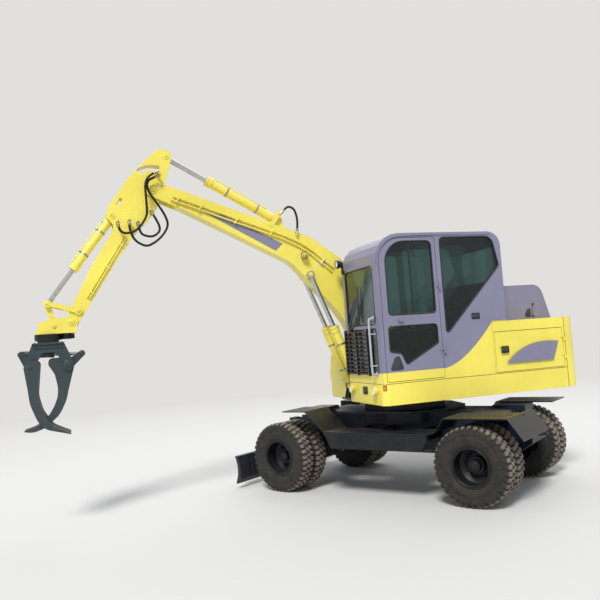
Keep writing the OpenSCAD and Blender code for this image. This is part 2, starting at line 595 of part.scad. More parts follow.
// Tank and tool box cover on the right side
cover_path = [[-weight_seam_x, sill_z + seat, 0], [right_front_x, sill_z + seat, 0], [right_front_x - 40, sill_z + 330, 60],
    [120, panel_top_z, 60], [-weight_seam_x, panel_top_z, 0]];
cover_w = upper_half_w + slot_right_y - 10;
cover_y = (slot_right_y - 10 - upper_half_w) / 2;
module right_cover() color(yellow) difference() {
    side_plate(cover_w, cover_y) polygon(rounded(cover_path));
    side_plate(cover_w - 2 * panel_t, cover_y) translate([0, -1]) polygon(rounded(grow(cover_path, -panel_t)));
    block([-weight_seam_x + panel_t, cover_y - cover_w / 2 + panel_t, sill_z - 20],
        [right_front_x - panel_t, cover_y + cover_w / 2 - panel_t, sill_z + 40]);
}
module engine_block() color("#50545a") block([-weight_seam_x + 110, -360, deck_z + 160 + seat],
    [-cab_rear_x - 30, 420, panel_top_z - 50]);

// An upright hinge: the fixed half with its pin, and the moving half over it
hinge_h = 40;
module hinge_fixed(p, r, back) {
    translate(p) cylinder(h = hinge_h, r = r);
    translate(p) cylinder(h = 2 * hinge_h + 2, r = r / 2);
    block([p.x - 20, back, p.z], [p.x, p.y, p.z + hinge_h]);
}
module hinge_moving(p, r, back) difference() {
    union() {
        translate(p + [0, 0, hinge_h + 1]) cylinder(h = hinge_h, r = r);
        block([p.x + 20, back, p.z + hinge_h + 1], [p.x + 44, back + 8, p.z + 2 * hinge_h + 1]);
        block([p.x, back + 4, p.z + hinge_h + 1], [p.x + 44, back + 8, p.z + 2 * hinge_h + 1]);
    }
    translate(p + [0, 0, hinge_h - 10]) cylinder(h = hinge_h + 30, r = r / 2 + run_gap);
}

// A plate drawn in the front view: a point is [y, z]
module front_plate(t, x) translate([x, 0, 0]) rotate([90, 0, 90]) linear_extrude(t) children();

// Cab: outlines in the side view, counter-clockwise
cab_mid_y = (cab_right_y + upper_half_w) / 2;
cab_w = upper_half_w - cab_right_y;
cab_floor_z = sill_z + seat;
cab_path = [[-panel_front_x + 4, cab_floor_z, 0], [upper_front_x, cab_floor_z, 0], [upper_front_x, roof_z, 320],
    [-cab_rear_x, roof_z, 170], [-cab_rear_x, panel_top_z + 3, 0], [-panel_front_x + 4, panel_top_z + 3, 0]];
door_path = [[-door_rear_x, sill_z + 16, 20], [door_front_x, sill_z + 16, 20], [door_front_x, roof_z - 50, 290],
    [-door_rear_x, roof_z - 50, 40]];
door_top_window = [[20, 2100, 40], [620, 2100, 40], [620, 2940, 240], [20, 2940, 60]];
door_low_window = [[20, 1750, 30], [440, 1530, 20], [500, 1660, 0], [640, 1685, 25], [640, 1970, 40], [20, 1970, 40]];
rear_side_window = [[-100, 1830, 25], [-100, 2975, 50], [-810, 2975, 110], [-885, 2620, 60]];
right_low_window = [[-30, 1700, 60], [620, 1700, 60], [620, 2040, 40], [-30, 2040, 40]];
right_top_window = [[-30, 2110, 40], [620, 2110, 40], [620, 2900, 240], [-30, 2900, 60]];
// Windows of front and rear wall in the front view
shield_path = [[cab_right_y + 75, 2010, 40], [upper_half_w - 95, 2010, 40], [upper_half_w - 95, 2680, 60], [cab_right_y + 75, 2680, 60]];
shield_low_path = [[cab_right_y + 75, 1450, 30], [upper_half_w - 95, 1450, 30], [upper_half_w - 95, 1960, 30], [cab_right_y + 75, 1960, 30]];
back_window = [[cab_right_y + 110, hood_top_z + 60, 40], [upper_half_w - 130, hood_top_z + 60, 40],
    [upper_half_w - 130, 2870, 60], [cab_right_y + 110, 2870, 60]];
hinge_x = -door_rear_x - 12;
hinge_y = upper_half_w + 16;
hinge_zs = [1620, 2360];

module cab_shell() color(lavender) {
    difference() {
        side_plate(cab_w, cab_mid_y) polygon(rounded(cab_path));
        side_plate(cab_w - 2 * cab_t, cab_mid_y) polygon(rounded(grow(cab_path, -cab_t)));
        side_plate(3 * cab_t, upper_half_w) {
            polygon(rounded(door_path));
            polygon(rounded(rear_side_window));
        }
        side_plate(3 * cab_t, cab_right_y) {
            polygon(rounded(right_low_window));
            polygon(rounded(right_top_window));
            polygon(rounded(rear_side_window));
        }
        front_plate(3 * cab_t, upper_front_x - 2 * cab_t) {
            polygon(rounded(shield_path));
            polygon(rounded(shield_low_path));
        }
        front_plate(3 * cab_t, -cab_rear_x - cab_t) polygon(rounded(back_window));
    }
    // Fixed half of the door hinges
    for (z = hinge_zs) hinge_fixed([hinge_x, hinge_y, z], 12, upper_half_w - 1);
}
module pane(path) polygon(rounded(grow(path, -seat)));
module cab_glass() color("#5f8f86", 0.4) {
    side_plate(6, upper_half_w - 12) pane(rear_side_window);
    side_plate(6, cab_right_y + 12) {
        pane(right_low_window);
        pane(right_top_window);
        pane(rear_side_window);
    }
    front_plate(6, upper_front_x - 16) {
        pane(shield_path);
        pane(shield_low_path);
    }
    front_plate(6, -cab_rear_x + 10) pane(back_window);
}
module cab_door() color(lavender) {
    side_plate(cab_t, upper_half_w - cab_t / 2) difference() {
        polygon(rounded(grow(door_path, -door_gap)));
        polygon(rounded(door_top_window));
        polygon(rounded(door_low_window));
    }
    for (z = hinge_zs) hinge_moving([hinge_x, hinge_y, z], 12, upper_half_w - 1);
    // Handle
    block([door_front_x - 250, upper_half_w - 1, 2020], [door_front_x - 190, upper_half_w + 22, 2046]);
}
module door_glass() color("#5f8f86", 0.4) side_plate(6, upper_half_w - 12) {
    pane(door_top_window);
    pane(door_low_window);
}
cab_in_z = cab_floor_z + cab_t;
module cab_seat() color(black) {
    // Pedestal, cushion, back and arm rests of the seat
    block([-470, cab_mid_y - 200, cab_in_z + seat], [-60, cab_mid_y + 200, cab_in_z + 280]);
    side_plate(480, cab_mid_y) polygon(rounded([
        [-480, cab_in_z + 279, 30], [-10, cab_in_z + 290, 50], [-10, cab_in_z + 400, 50], [-390, cab_in_z + 400, 60],
        [-500, cab_in_z + 1060, 60], [-620, cab_in_z + 1040, 50]]));
}
module cab_controls() color("#2c2d30") {
    // Side consoles with their levers
    for (s = [-1, 1]) {
        block([-420, cab_mid_y + s * 320 - 70, cab_in_z + seat], [60, cab_mid_y + s * 320 + 70, cab_in_z + 520]);
        translate([0, cab_mid_y + s * 320, cab_in_z + 500]) rotate([0, 12, 0]) cylinder(h = 200, r = 16);
        translate([42, cab_mid_y + s * 320, cab_in_z + 700]) sphere(r = 34);
    }
    // Steering column and wheel
    block([370, cab_mid_y - 60, cab_in_z + seat], [490, cab_mid_y + 60, cab_in_z + 25]);
    long_bar([428, cab_in_z + 14], [290, cab_in_z + 620], 45, cab_mid_y);
    translate([290, cab_mid_y, cab_in_z + 620]) rotate([0, -20, 0]) {
        rotate_extrude() translate([170, 0]) circle(r = 15, $fn = 16);
        for (a = [0, 120, 240]) rotate([0, 90, a]) cylinder(h = 165, r = 12);
        cylinder(h = 30, r = 50, center = true);
    }
    // Travel pedals on the floor
    for (y = [-60, 60]) side_plate(70, cab_mid_y + y) polygon([[480, cab_in_z + seat], [600, cab_in_z + seat], [600, cab_in_z + 120], [585, cab_in_z + 120]]);
}
// Louvred guard before the lower windscreen, and the grab rail
guard_lo = [cab_right_y + 15, 1420];
guard_hi = [660, 1965];
guard_bars = 11;
guard_x = upper_front_x + seat;
module front_guard() color(black) {
    for (y = [guard_lo.x, (guard_lo.x + guard_hi.x) / 2, guard_hi.x]) block([guard_x, y - 10, guard_lo.y], [guard_x + 34, y + 10, guard_hi.y]);
    for (i = [0:guard_bars - 1]) let (z = guard_lo.y + (i + 0.5) * (guard_hi.y - guard_lo.y) / guard_bars)
        translate([guard_x + 20, (guard_lo.x + guard_hi.x) / 2, z]) rotate([0, 35, 0])
            cube([26, guard_hi.x - guard_lo.x, 8], center = true);
}
rail_r = 14;
rail_y = upper_half_w - 150;
module mirror_lamps() color(black) {
    // Grab rail on the left front pillar
    tube([for (p = [[seat, 1440], [40, 1440], [60, 1460], [60, 2060], [40, 2080], [seat, 2080]])
        [upper_front_x + p.x, rail_y, p.y]], rail_r);
    // Work lamp on a bracket at the right front corner of the roof
    block([upper_front_x + seat, cab_right_y + 50, 2670], [upper_front_x + 30, cab_right_y + 90, 2712]);
    block([upper_front_x + 14, cab_right_y + 50, 2700], [upper_front_x + 30, cab_right_y + 90, 2790]);
    translate([upper_front_x + 20, cab_right_y + 70, 2800]) rotate([0, 90, 0]) cylinder(h = 80, r = 52);
    // Lamps and indicator of the nose
    for (y = [120, 780]) translate([upper_front_x + seat, y, sill_z - 75]) rotate([0, 90, 0]) cylinder(h = 50, r = 52);
    block([upper_front_x + seat, 400, sill_z - 130], [upper_front_x + 14, 520, sill_z - 40]);
}

// Boom: corners in the chord frame, as share of the length, height over the chord and radius
boom_rows = [
    [-0.028, 60, 0], [0.081, 384, 300], [0.188, 621, 300], [0.286, 764, 220], [0.440, 736, 400], [0.975, 129, 0],
    [0.990, -88, 0], [0.878, 19, 300], [0.446, 321, 400], [0.196, 188, 200], [0.133, 120, 200], [0.018, -100, 0]];
fork_w = 172;
arm_w = 156;
arm_pin_r = 32;
arm_lug_t = 18;
arm_lug_y = 35 + 5 + arm_lug_t / 2;
module in_boom() translate(boom_foot) rotate(boom_deg) children();
module in_arm() translate(arm_pin) rotate(arm_deg) children();
function chord(p) = [p[0] * boom_len, p[1], p[2]];
// Hose over the arm cylinder foot, and its bracket on the boom
boom_face_y = boom_y + boom_w / 2;
boom_hose_y = boom_face_y + 20;
boom_hose_line = [for (p = [[0.5825, 760], [0.575, 860], [0.55, 880], [0.5185, 800], [0.493, 675]]) on_boom(p.x * boom_len, p.y)];
module boom_hose() hose(boom_hose_line, boom_hose_y);
// Work lamp on the left face of the boom
boom_lamp = on_boom(0.4187 * boom_len, 485);
boom_lamp_y = boom_face_y + 44;
module boom_fittings() {
    ports(boom_hose_line, boom_hose_y, boom_face_y);
    side_plate(8, boom_face_y) in_boom() translate([0.5775 * boom_len, 520]) square([60, 255]);
    cross_bar(boom_lamp, 14, 44, boom_face_y + 12);
    translate([boom_lamp.x - 30, boom_lamp_y, boom_lamp.y]) rotate([0, 90, 0]) {
        cylinder(h = 60, r = 40);
        translate([0, 0, 50]) cylinder(h = 14, r = 42);
    }
}
module boom() color(yellow) difference() {
    union() {
        side_plate(boom_w, boom_y) {
            in_boom() polygon(rounded([for (row = boom_rows) chord(row)]));
            translate(boom_foot) circle(r = 105);
            translate(arm_pin) circle(r = 96);
        }
        // Foot boss and pin
        cross_bar(boom_foot, boom_pin_r, boom_w + 2 * bracket_gap + 2 * bracket_t + 16, boom_y);
        // Bosses of the boom cylinder eyes
        cross_bar(boom_cyl_eye, 60, boom_w + 10, boom_y);
        boom_fittings();
        // Lugs of the arm cylinder
        for (s = [-1, 1]) side_plate(arm_lug_t, boom_y + s * arm_lug_y) in_boom() translate(arm_cyl_foot_uv) {
            circle(r = 48);
            polygon([[-170, -80], [-44, 18], [47, 8], [47, -130]]);
        }
    }
    // Fork that takes the arm
    side_plate(fork_w, boom_y) in_boom() translate([boom_len - 330, -400]) square([600, 900]);
    cross_bar(arm_pin, arm_pin_r + run_gap, 2 * boom_w, boom_y);
    cross_bar(arm_cyl_foot, 22 + run_gap, boom_w, boom_y);
}
pipe_r = 11;
pipe_y = boom_y + boom_w / 2 + 8 + pipe_r;
pipe_rows = [[0.30, 600], [0.40, 608], [0.46, 590], [0.52, 540], [0.93, 70]];
clip_rows = [[0.35, 604], [0.57, 483], [0.70, 334], [0.83, 185], [0.91, 93]];
module boom_pipes() color(yellow) {
    for (k = [0, 50]) tube([for (r = pipe_rows) let (p = on_boom(r[0] * boom_len, r[1] - k)) [p.x, pipe_y, p.y]], pipe_r);
    for (r = clip_rows) translate([0, pipe_y, 0]) side_plate(2 * (8 + pipe_r) - 2 * seat) in_boom()
        translate([r[0] * boom_len - 12, r[1] - 50 - 17]) square([24, 84]);
}

// A cylinder from its foot pin to its eye: barrel with a bore for the rod, and rod with its eye
module barrel(foot, eye, len, r, rod_r, w, pin_r, pin_half, y) difference() {
    union() {
        cross_bar(foot, eye_r, w, y);
        cross_bar(foot, pin_r, 2 * pin_half, y);
        long_bar(foot, foot + unit(eye - foot) * (eye_r + 20), w / 2 - 1, y);
        long_bar(foot + unit(eye - foot) * (eye_r + 14), foot + unit(eye - foot) * len, r, y);
        long_bar(foot + unit(eye - foot) * (len - 70), foot + unit(eye - foot) * (len + 8), r + 7, y);
    }
    long_bar(foot + unit(eye - foot) * (eye_r + 34), foot + unit(eye - foot) * (len + 20), rod_r + run_gap, y);
}
module rod(foot, eye, from, r, w, y) {
    long_bar(foot + unit(eye - foot) * from, eye, r, y);
    cross_bar(eye, 48, w, y);
}
boom_rod_r = rod_share * boom_barrel_d / 2;
arm_rod_r = rod_share * arm_barrel_d / 2;
tool_rod_r = rod_share * tool_barrel_d / 2;
module boom_barrels() color(yellow) for (s = [-1, 1])
    barrel(boom_cyl_foot, boom_cyl_eye, 836, boom_barrel_d / 2, boom_rod_r, 60, 24, 54, boom_y + s * boom_barrel_y);
module boom_rods() color(chrome) for (s = [-1, 1])
    rod(boom_cyl_foot, boom_cyl_eye, 450, boom_rod_r, 56, boom_y + s * boom_barrel_y);

// Arm: corners in its own frame, from the arm pin towards the tool pin
arm_path = [
    [-513, 31, 60], [-485, 137, 60], [-429, 199, 80], [-252, 246, 300], [60, 307, 300], [446, 322, 60], [575, 296, 30],
    [600, 190, 60], [650, 139, 80], [0.614 * arm_len, 141, 300], [arm_len - 94, 87, 200], [arm_len + 10, 60, 0],
    [arm_len + 10, -66, 0], [arm_len - 196, -67, 200], [0.545 * arm_len, -67, 300], [591, -88, 300], [336, -140, 100],
    [199, -156, 100], [-275, -49, 200], [-421, -7, 60]];
lobe_slot_w = 80;
tool_slot_w = 112;
// Hoses that loop under the arm, from its boss back to its left face
arm_face_y = boom_y + arm_w / 2;
inner_y = arm_face_y + 82;
outer_y = inner_y + 34;
outer_line = [for (p = [[-170, 65], [-75, 110], [30, 95], [200, -15], [325, -90], [445, -100], [560, -75], [640, 0],
    [645, 70], [590, 130]]) on_arm(p.x, p.y)];
long_line = [for (p = [[-145, 30], [-35, 90], [60, 35], [130, -100], [200, -245], [280, -345], [375, -370], [505, -350],
    [635, -275], [650, -135], [580, -25], [500, 35]]) on_arm(p.x, p.y)];
short_line = [for (p = [[265, -125], [345, -260], [415, -310], [510, -270], [545, -155], [465, -60]]) on_arm(p.x, p.y)];
module arm_hose_outer() hose(outer_line, outer_y);
module arm_hose_long() hose(long_line, inner_y);
module arm_hose_short() hose(short_line, inner_y);

module arm() color(yellow) {
    arm_body();
    ports(outer_line, outer_y, arm_face_y);
    ports(long_line, inner_y, arm_face_y);
    ports(short_line, inner_y, arm_face_y);
}
module arm_body() difference() {
    union() {
        side_plate(arm_w, boom_y) {
            in_arm() polygon(rounded(arm_path));
            translate(tool_pin) circle(r = 72);
        }
        cross_bar(arm_pin, arm_pin_r, boom_w + 24, boom_y);
    }
    // Curved slot around the arm pin, where hoses pass
    side_plate(2 * arm_w, boom_y) in_arm() difference() {
        intersection() {
            circle(r = 292);
            rotate(110) polygon([[0, 0], [900, 0], [900 * cos(57), 900 * sin(57)]]);
        }
        circle(r = 222);
    }
    side_plate(2 * arm_w, boom_y) in_arm() translate([292, 234]) square([98, 30]);
    // Fork of the arm cylinder eye
    side_plate(lobe_slot_w, boom_y) in_arm() translate([-600, -300]) square([270, 700]);
    // Fork of the tool cylinder foot
    side_plate(tool_slot_w, boom_y) in_arm() translate([430, 160]) square([300, 300]);
    cross_bar(tool_cyl_foot, 22 + run_gap, 2 * arm_w, boom_y);
    cross_bar(lever_pin, 24 + run_gap, 2 * arm_w, boom_y);
    cross_bar(tool_pin, 28 + run_gap, 2 * arm_w, boom_y);
}
module arm_barrel() color(yellow)
    barrel(arm_cyl_foot, arm_cyl_eye, 1004, arm_barrel_d / 2, arm_rod_r, 70, 22, 60, boom_y);
module arm_rod() color(chrome) rod(arm_cyl_foot, arm_cyl_eye, 560, arm_rod_r, 68, boom_y);
module tool_barrel() color(yellow)
    barrel(tool_cyl_foot, lever_eye, 760, tool_barrel_d / 2, tool_rod_r, 70, 22, 80, boom_y);
module tool_rod() color(chrome) {
    long_bar(tool_cyl_foot + unit(lever_eye - tool_cyl_foot) * 480, lever_eye, tool_rod_r, boom_y);
    cross_bar(lever_eye, 40, 62, boom_y);
}
// Lever between the arm and the tool cylinder, and the link down to the hanger
lever_t = 16;
lever_y = arm_w / 2 + 6 + lever_t / 2;
link_y = 46;
module tilt_lever() color(yellow) {
    for (s = [-1, 1]) {
        side_plate(lever_t, boom_y + s * lever_y) {
            polygon([lever_pin + [-40, 12], lever_pin + [30, -24], lever_eye + [38, -8], lever_eye + [-34, 16]]);
            translate(lever_pin) circle(r = 44);
            translate(lever_eye) circle(r = 40);
        }
        cross_bar(lever_eye, 34, 27, boom_y + s * (lever_y - lever_t / 2 - 12.5));
    }
    cross_bar(lever_pin, 24, 2 * lever_y + lever_t + 10, boom_y);
}
module tilt_link() color(yellow) {
    for (s = [-1, 1]) side_plate(16, boom_y + s * link_y) {
        polygon([lever_eye + [-34, 0], lever_eye + [34, 0], link_pin + [34, 0], link_pin + [-34, 0]]);
        translate(lever_eye) circle(r = 38);
        translate(link_pin) circle(r = 38);
    }
    cross_bar(link_pin, 22, 2 * 110, boom_y);
}
hanger_t = 20;
hanger_y = arm_w / 2 + 6 + hanger_t / 2;
rotator_top_z = tool_pin.y - 116;
rotator_low_z = rotator_top_z - 68;
module hanger() color(yellow) {
    difference() {
        for (s = [-1, 1]) side_plate(hanger_t, boom_y + s * hanger_y) {
            polygon(rounded([[tool_pin.x - 40, rotator_top_z + 20, 0], [tool_x + 110, rotator_top_z + 20, 0],
                [tool_x + 98, tool_pin.y + 5, 30], [link_pin.x + 30, link_pin.y + 84, 40], [tool_pin.x + 30, tool_pin.y + 60, 0],
                [tool_pin.x - 60, tool_pin.y + 20, 0]]));
            translate(tool_pin) circle(r = 62);
        }
        cross_bar(link_pin, 22 + run_gap, 400, boom_y);
    }
    cross_bar(tool_pin, 28, 2 * hanger_y + hanger_t + 12, boom_y);
    block([tool_pin.x - 44, boom_y - hanger_y - 10, rotator_top_z], [tool_x + 130, boom_y + hanger_y + 10, rotator_top_z + 24]);
}
module rotator() color(black) {
    translate([tool_x, boom_y, rotator_low_z]) cylinder(h = rotator_top_z - rotator_low_z - seat, r = rotator_r);
    // Drive motor on the side of the rotator
    translate([tool_x - rotator_r - 52, boom_y + 20, rotator_low_z + 4]) cylinder(h = 60, r = 54);
    translate([tool_x - rotator_r - 140, boom_y + 20, rotator_low_z + 34]) rotate([0, 90, 0]) cylinder(h = 100, r = 28);
}
// Grapple head that turns under the rotator
jaw_z = round(tool_pin.y) - jaw_drop;
head_top_z = rotator_low_z - 28;
cheek_y = 125;
jaw_pin_r = 28;
front_pivot = [tool_x + jaw_half, jaw_z];
rear_pivot = [tool_x - jaw_half, jaw_z];
front_ear = front_pivot + [87, 148];
rear_ear = rear_pivot + [-150, 120];
module grapple_head() color(steel) {
    translate([tool_x, boom_y, head_top_z - 2]) cylinder(h = rotator_low_z - head_top_z + 2 - seat, r = 118);
    block([tool_x - 168, boom_y - cheek_y - 30, head_top_z - 16], [tool_x + 168, boom_y + cheek_y + 30, head_top_z]);
    difference() {
        for (s = [-1, 1]) side_plate(cheek_t, boom_y + s * cheek_y) {
            polygon(rounded([[tool_x + 168, head_top_z - 10, 0], [tool_x - 168, head_top_z - 10, 0],
                [rear_pivot.x - 62, jaw_z + 20, 30], [rear_pivot.x, jaw_z - 60, 50], [rear_pivot.x + 60, jaw_z + 40, 40],
                [tool_x - 70, jaw_z + 150, 60], [tool_x + 70, jaw_z + 150, 60], [front_pivot.x - 60, jaw_z + 40, 40],
                [front_pivot.x, jaw_z - 60, 50], [front_pivot.x + 62, jaw_z + 20, 30]]));
            translate(rear_pivot) circle(r = 58);
            translate(front_pivot) circle(r = 58);
        }
        cross_bar(front_pivot, jaw_pin_r + run_gap, 600, boom_y);
        cross_bar(rear_pivot, jaw_pin_r + run_gap, 600, boom_y);
    }
}
// Tines: corners as offset from the tool axis, height over the jaw pivots and radius
front_tine = [[262, 0, 50], [235, 85, 50], [90, 70, 50], [113, -148, 300], [130, -314, 300], [90, -483, 300],
    [-10, -648, 200], [-194, -742, 0], [-194, -755, 0], [69, -678, 180], [140, -593, 300], [213, -399, 400], [229, -243, 400]];
rear_tine = [[-273, 28, 60], [-150, 90, 60], [5, 90, 45], [10, 15, 40], [-52, -91, 80], [-79, -232, 300], [-74, -337, 300],
    [-29, -449, 300], [35, -557, 300], [166, -647, 200], [285, -678, 0], [285, -690, 0], [199, -710, 200], [70, -668, 200],
    [-85, -538, 300], [-162, -388, 400], [-187, -284, 400]];
function on_tool(path) = [for (p = path) [p[0] + tool_x, p[1] + jaw_z, p[2]]];
ear_y = 52;
module ears(pivot, ear) for (s = [-1, 1]) side_plate(16, boom_y + s * ear_y) difference() {
    union() {
        translate(pivot) circle(r = 56);
        translate(ear) circle(r = 36);
        polygon([pivot + turn(unit(ear - pivot) * 52, 90), pivot - turn(unit(ear - pivot) * 52, 90),
            ear - turn(unit(ear - pivot) * 34, 90), ear + turn(unit(ear - pivot) * 34, 90)]);
    }
    translate(ear) circle(r = 20 + run_gap);
}
module jaw(tine, tine_ys, pivot, ear, half) color(steel) {
    for (y = tine_ys) side_plate(tine_t, boom_y + y) polygon(rounded(on_tool(tine)));
    cross_bar(pivot, jaw_pin_r, 2 * half, boom_y);
    cross_bar(pivot, 50, 2 * 112, boom_y);
    ears(pivot, ear);
}
module front_jaw() jaw(front_tine, [-165, 0, 165], front_pivot, front_ear, 190);
module rear_jaw() jaw(rear_tine, [-82, 82], rear_pivot, rear_ear, 142);
jaw_barrel_r = 38;
jaw_rod_r = 20;
module jaw_barrel() color(steel) {
    difference() {
        union() {
            cross_bar(front_ear, 34, 80, boom_y);
            cross_bar(front_ear, 20, 2 * ear_y + 30, boom_y);
            long_bar(front_ear, front_ear + unit(rear_ear - front_ear) * 345, jaw_barrel_r, boom_y);
        }
        long_bar(front_ear + unit(rear_ear - front_ear) * 50, front_ear + unit(rear_ear - front_ear) * 350, jaw_rod_r + run_gap, boom_y);
    }
}
module jaw_rod() color(chrome) {
    long_bar(front_ear + unit(rear_ear - front_ear) * 315, rear_ear, jaw_rod_r, boom_y);
    cross_bar(rear_ear, 30, 76, boom_y);
}

chassis_frame();
fenders_steps();
front_axle();
rear_axle();
drive_shaft();
knuckle_left();
knuckle_right();
tyres_front_left();
tyres_front_right();
tyres_rear_left();
tyres_rear_right();
rims_front_left();
rims_front_right();
rims_rear_left();
rims_rear_right();
blade();
blade_barrels();
blade_rods();
upper_frame();
body_skirt();
counterweight();
left_panel();
service_door();
engine_hood();
right_cover();
engine_block();
cab_shell();
cab_glass();
cab_seat();
cab_controls();
front_guard();
cab_door();
door_glass();
mirror_lamps();
boom();
boom_pipes();
boom_hose();
boom_barrels();
boom_rods();
arm();
arm_hose_outer();
arm_hose_long();
arm_hose_short();
arm_barrel();
arm_rod();
tool_barrel();
tool_rod();
tilt_lever();
tilt_link();
hanger();
rotator();
grapple_head();
front_jaw();
rear_jaw();
jaw_barrel();
jaw_rod();
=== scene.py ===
"""Wheeled excavator with a timber grapple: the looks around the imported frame.

Laid out as a Blender add-on and run as a script. Every size is in metres, in the
frame's own axes: +X along the boom, +Y to the cab side, +Z up.
"""
import json
import math

import bmesh
import bpy
from bpy.props import FloatProperty, FloatVectorProperty, IntProperty, PointerProperty
from mathutils import Matrix, Vector


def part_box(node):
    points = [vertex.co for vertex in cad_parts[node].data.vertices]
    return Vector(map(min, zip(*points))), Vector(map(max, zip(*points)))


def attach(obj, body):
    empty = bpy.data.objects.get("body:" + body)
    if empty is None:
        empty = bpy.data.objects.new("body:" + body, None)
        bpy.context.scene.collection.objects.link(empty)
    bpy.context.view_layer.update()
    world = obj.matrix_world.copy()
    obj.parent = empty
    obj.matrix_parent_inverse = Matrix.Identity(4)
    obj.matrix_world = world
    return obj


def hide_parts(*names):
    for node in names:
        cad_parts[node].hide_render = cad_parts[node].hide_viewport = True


bl_info = {
    "name": "Wheeled excavator with grapple",
    "version": (1, 0, 0),
    "blender": (4, 5, 0),
    "location": "3D View > Sidebar > Excavator",
    "description": "Builds the looks of a wheeled excavator with a timber grapple",
    "category": "Add Mesh",
}

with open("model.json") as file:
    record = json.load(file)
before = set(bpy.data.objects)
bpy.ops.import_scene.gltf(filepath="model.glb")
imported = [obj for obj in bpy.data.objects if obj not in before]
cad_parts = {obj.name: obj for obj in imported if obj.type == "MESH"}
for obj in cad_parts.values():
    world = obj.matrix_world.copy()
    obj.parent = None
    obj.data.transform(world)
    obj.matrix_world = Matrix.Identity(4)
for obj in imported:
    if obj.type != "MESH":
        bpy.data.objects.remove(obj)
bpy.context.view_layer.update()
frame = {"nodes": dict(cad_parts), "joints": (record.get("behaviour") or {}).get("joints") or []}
NODES = frame["nodes"]
PIVOT = {joint["name"]: Vector(joint["pos_m"]) for joint in frame["joints"] if "pos_m" in joint}

CAB_LO, CAB_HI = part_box("cab_shell")
GUARD_LO, GUARD_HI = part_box("front_guard")
BOOM_Y = PIVOT["boom_lift"].y
AHEAD, LEFT, UP = Vector((1, 0, 0)), Vector((0, 1, 0)), Vector((0, 0, 1))


# Settings
def length(name, text, default):
    """A length that a user may change."""
    return FloatProperty(name=name, description=text, default=default, min=0.0, unit="LENGTH")


def colour(name, text, default):
    """A paint colour that a user may change."""
    return FloatVectorProperty(name=name, description=text, default=default, size=3,
                               min=0.0, max=1.0, subtype="COLOR")


class ExcavatorColours(bpy.types.PropertyGroup):
    """Colours of paint, rubber and dust, as linear values."""
    yellow: colour("Yellow", "Main paint of body, boom and arm", (0.83, 0.705, 0.10))
    lavender: colour("Lavender", "Paint of cab, hood and stripes", (0.205, 0.200, 0.290))
    navy: colour("Navy", "Paint of chassis and blade", (0.007, 0.011, 0.022))
    teal: colour("Teal", "Paint of the grapple", (0.023, 0.041, 0.047))
    black: colour("Black", "Satin black of fenders and fittings", (0.007, 0.0085, 0.012))
    grey: colour("Grey", "Paint of the grab rail", (0.40, 0.41, 0.42))
    rubber: colour("Rubber", "Tyres and hoses", (0.010, 0.0098, 0.0096))
    dust: colour("Dust", "Dry earth on tyres and steps", (0.36, 0.27, 0.19))
    glass: colour("Glass", "Tint of the windows", (0.085, 0.20, 0.185))
    floor: colour("Floor", "Floor of the studio", (0.62, 0.61, 0.59))


class WheelSizes(bpy.types.PropertyGroup):
    """Sizes of one tyre and rim."""
    radius: length("Radius", "Over the lugs", 0.430)
    width: length("Width", "Of one tyre", 0.226)
    gap: length("Gap", "Between twin tyres", 0.031)
    track: length("Track", "Over the outer tyre faces", 2.132)
    rim_radius: length("Rim radius", "At the bead seat", 0.206)
    groove: length("Groove", "Depth of the tread", 0.020)
    lugs: IntProperty(name="Lugs", description="Lugs on one shoulder", default=38, min=8)
    nuts: IntProperty(name="Nuts", description="Nuts that hold one wheel", default=10, min=4)
    steer: FloatProperty(name="Steer", description="Angle of the front wheels to the right",
                         default=math.radians(4), subtype="ANGLE")
    chassis_turn: FloatProperty(name="Chassis turn", description="Angle of the chassis to the right",
                                default=math.radians(54.6), subtype="ANGLE")


class TrimSizes(bpy.types.PropertyGroup):
    """Sizes of seals, hardware and hoses."""
    seal: length("Seal", "Radius of the window rubbers", 0.009)
    border: length("Border", "Black border printed on the glass", 0.040)
    proud: length("Proud", "How far a decal stands off its panel", 0.0012)
    hose: length("Hose", "Diameter of the pressure hoses", 0.028)


def sizes(group):
    """One group of the settings above."""
    return getattr(bpy.context.scene, group)


# Outlines
def rounded(path, steps=6):
    """The outline of a path of (along, up, radius) corners, with its corners rounded."""
    points = []
    count = len(path)
    for i, (x, z, radius) in enumerate(path):
        here = Vector((x, z))
        if radius == 0:
            points.append(here)
            continue
        to_last = (Vector(path[i - 1][:2]) - here).normalized()
        to_next = (Vector(path[(i + 1) % count][:2]) - here).normalized()
        half = math.acos(max(-1.0, min(1.0, to_last.dot(to_next)))) / 2
        centre = here + (to_last + to_next).normalized() * radius / math.sin(half)
        start = here + to_last * radius / math.tan(half) - centre
        end = here + to_next * radius / math.tan(half) - centre
        angle = math.atan2(start.y, start.x)
        sweep = math.atan2(end.y, end.x) - angle
        sweep = (sweep + math.pi) % (2 * math.pi) - math.pi
        for k in range(steps + 1):
            turn = angle + sweep * k / steps
            points.append(centre + radius * Vector((math.cos(turn), math.sin(turn))))
    return points


def side(points, y):
    """Points of the side view, put at y."""
    return [Vector((p[0], y, p[1])) for p in points]


def front(points, x):
    """Points of the front view, put at x."""
    return [Vector((x, p[0], p[1])) for p in points]


def around(count, radius, first=0.0):
    """So many points of a circle: radius times cosine and sine of even angles, from the first one on."""
    angles = [first + 2 * math.pi * k / count for k in range(count)]
    return [(radius * math.cos(angle), radius * math.sin(angle)) for angle in angles]


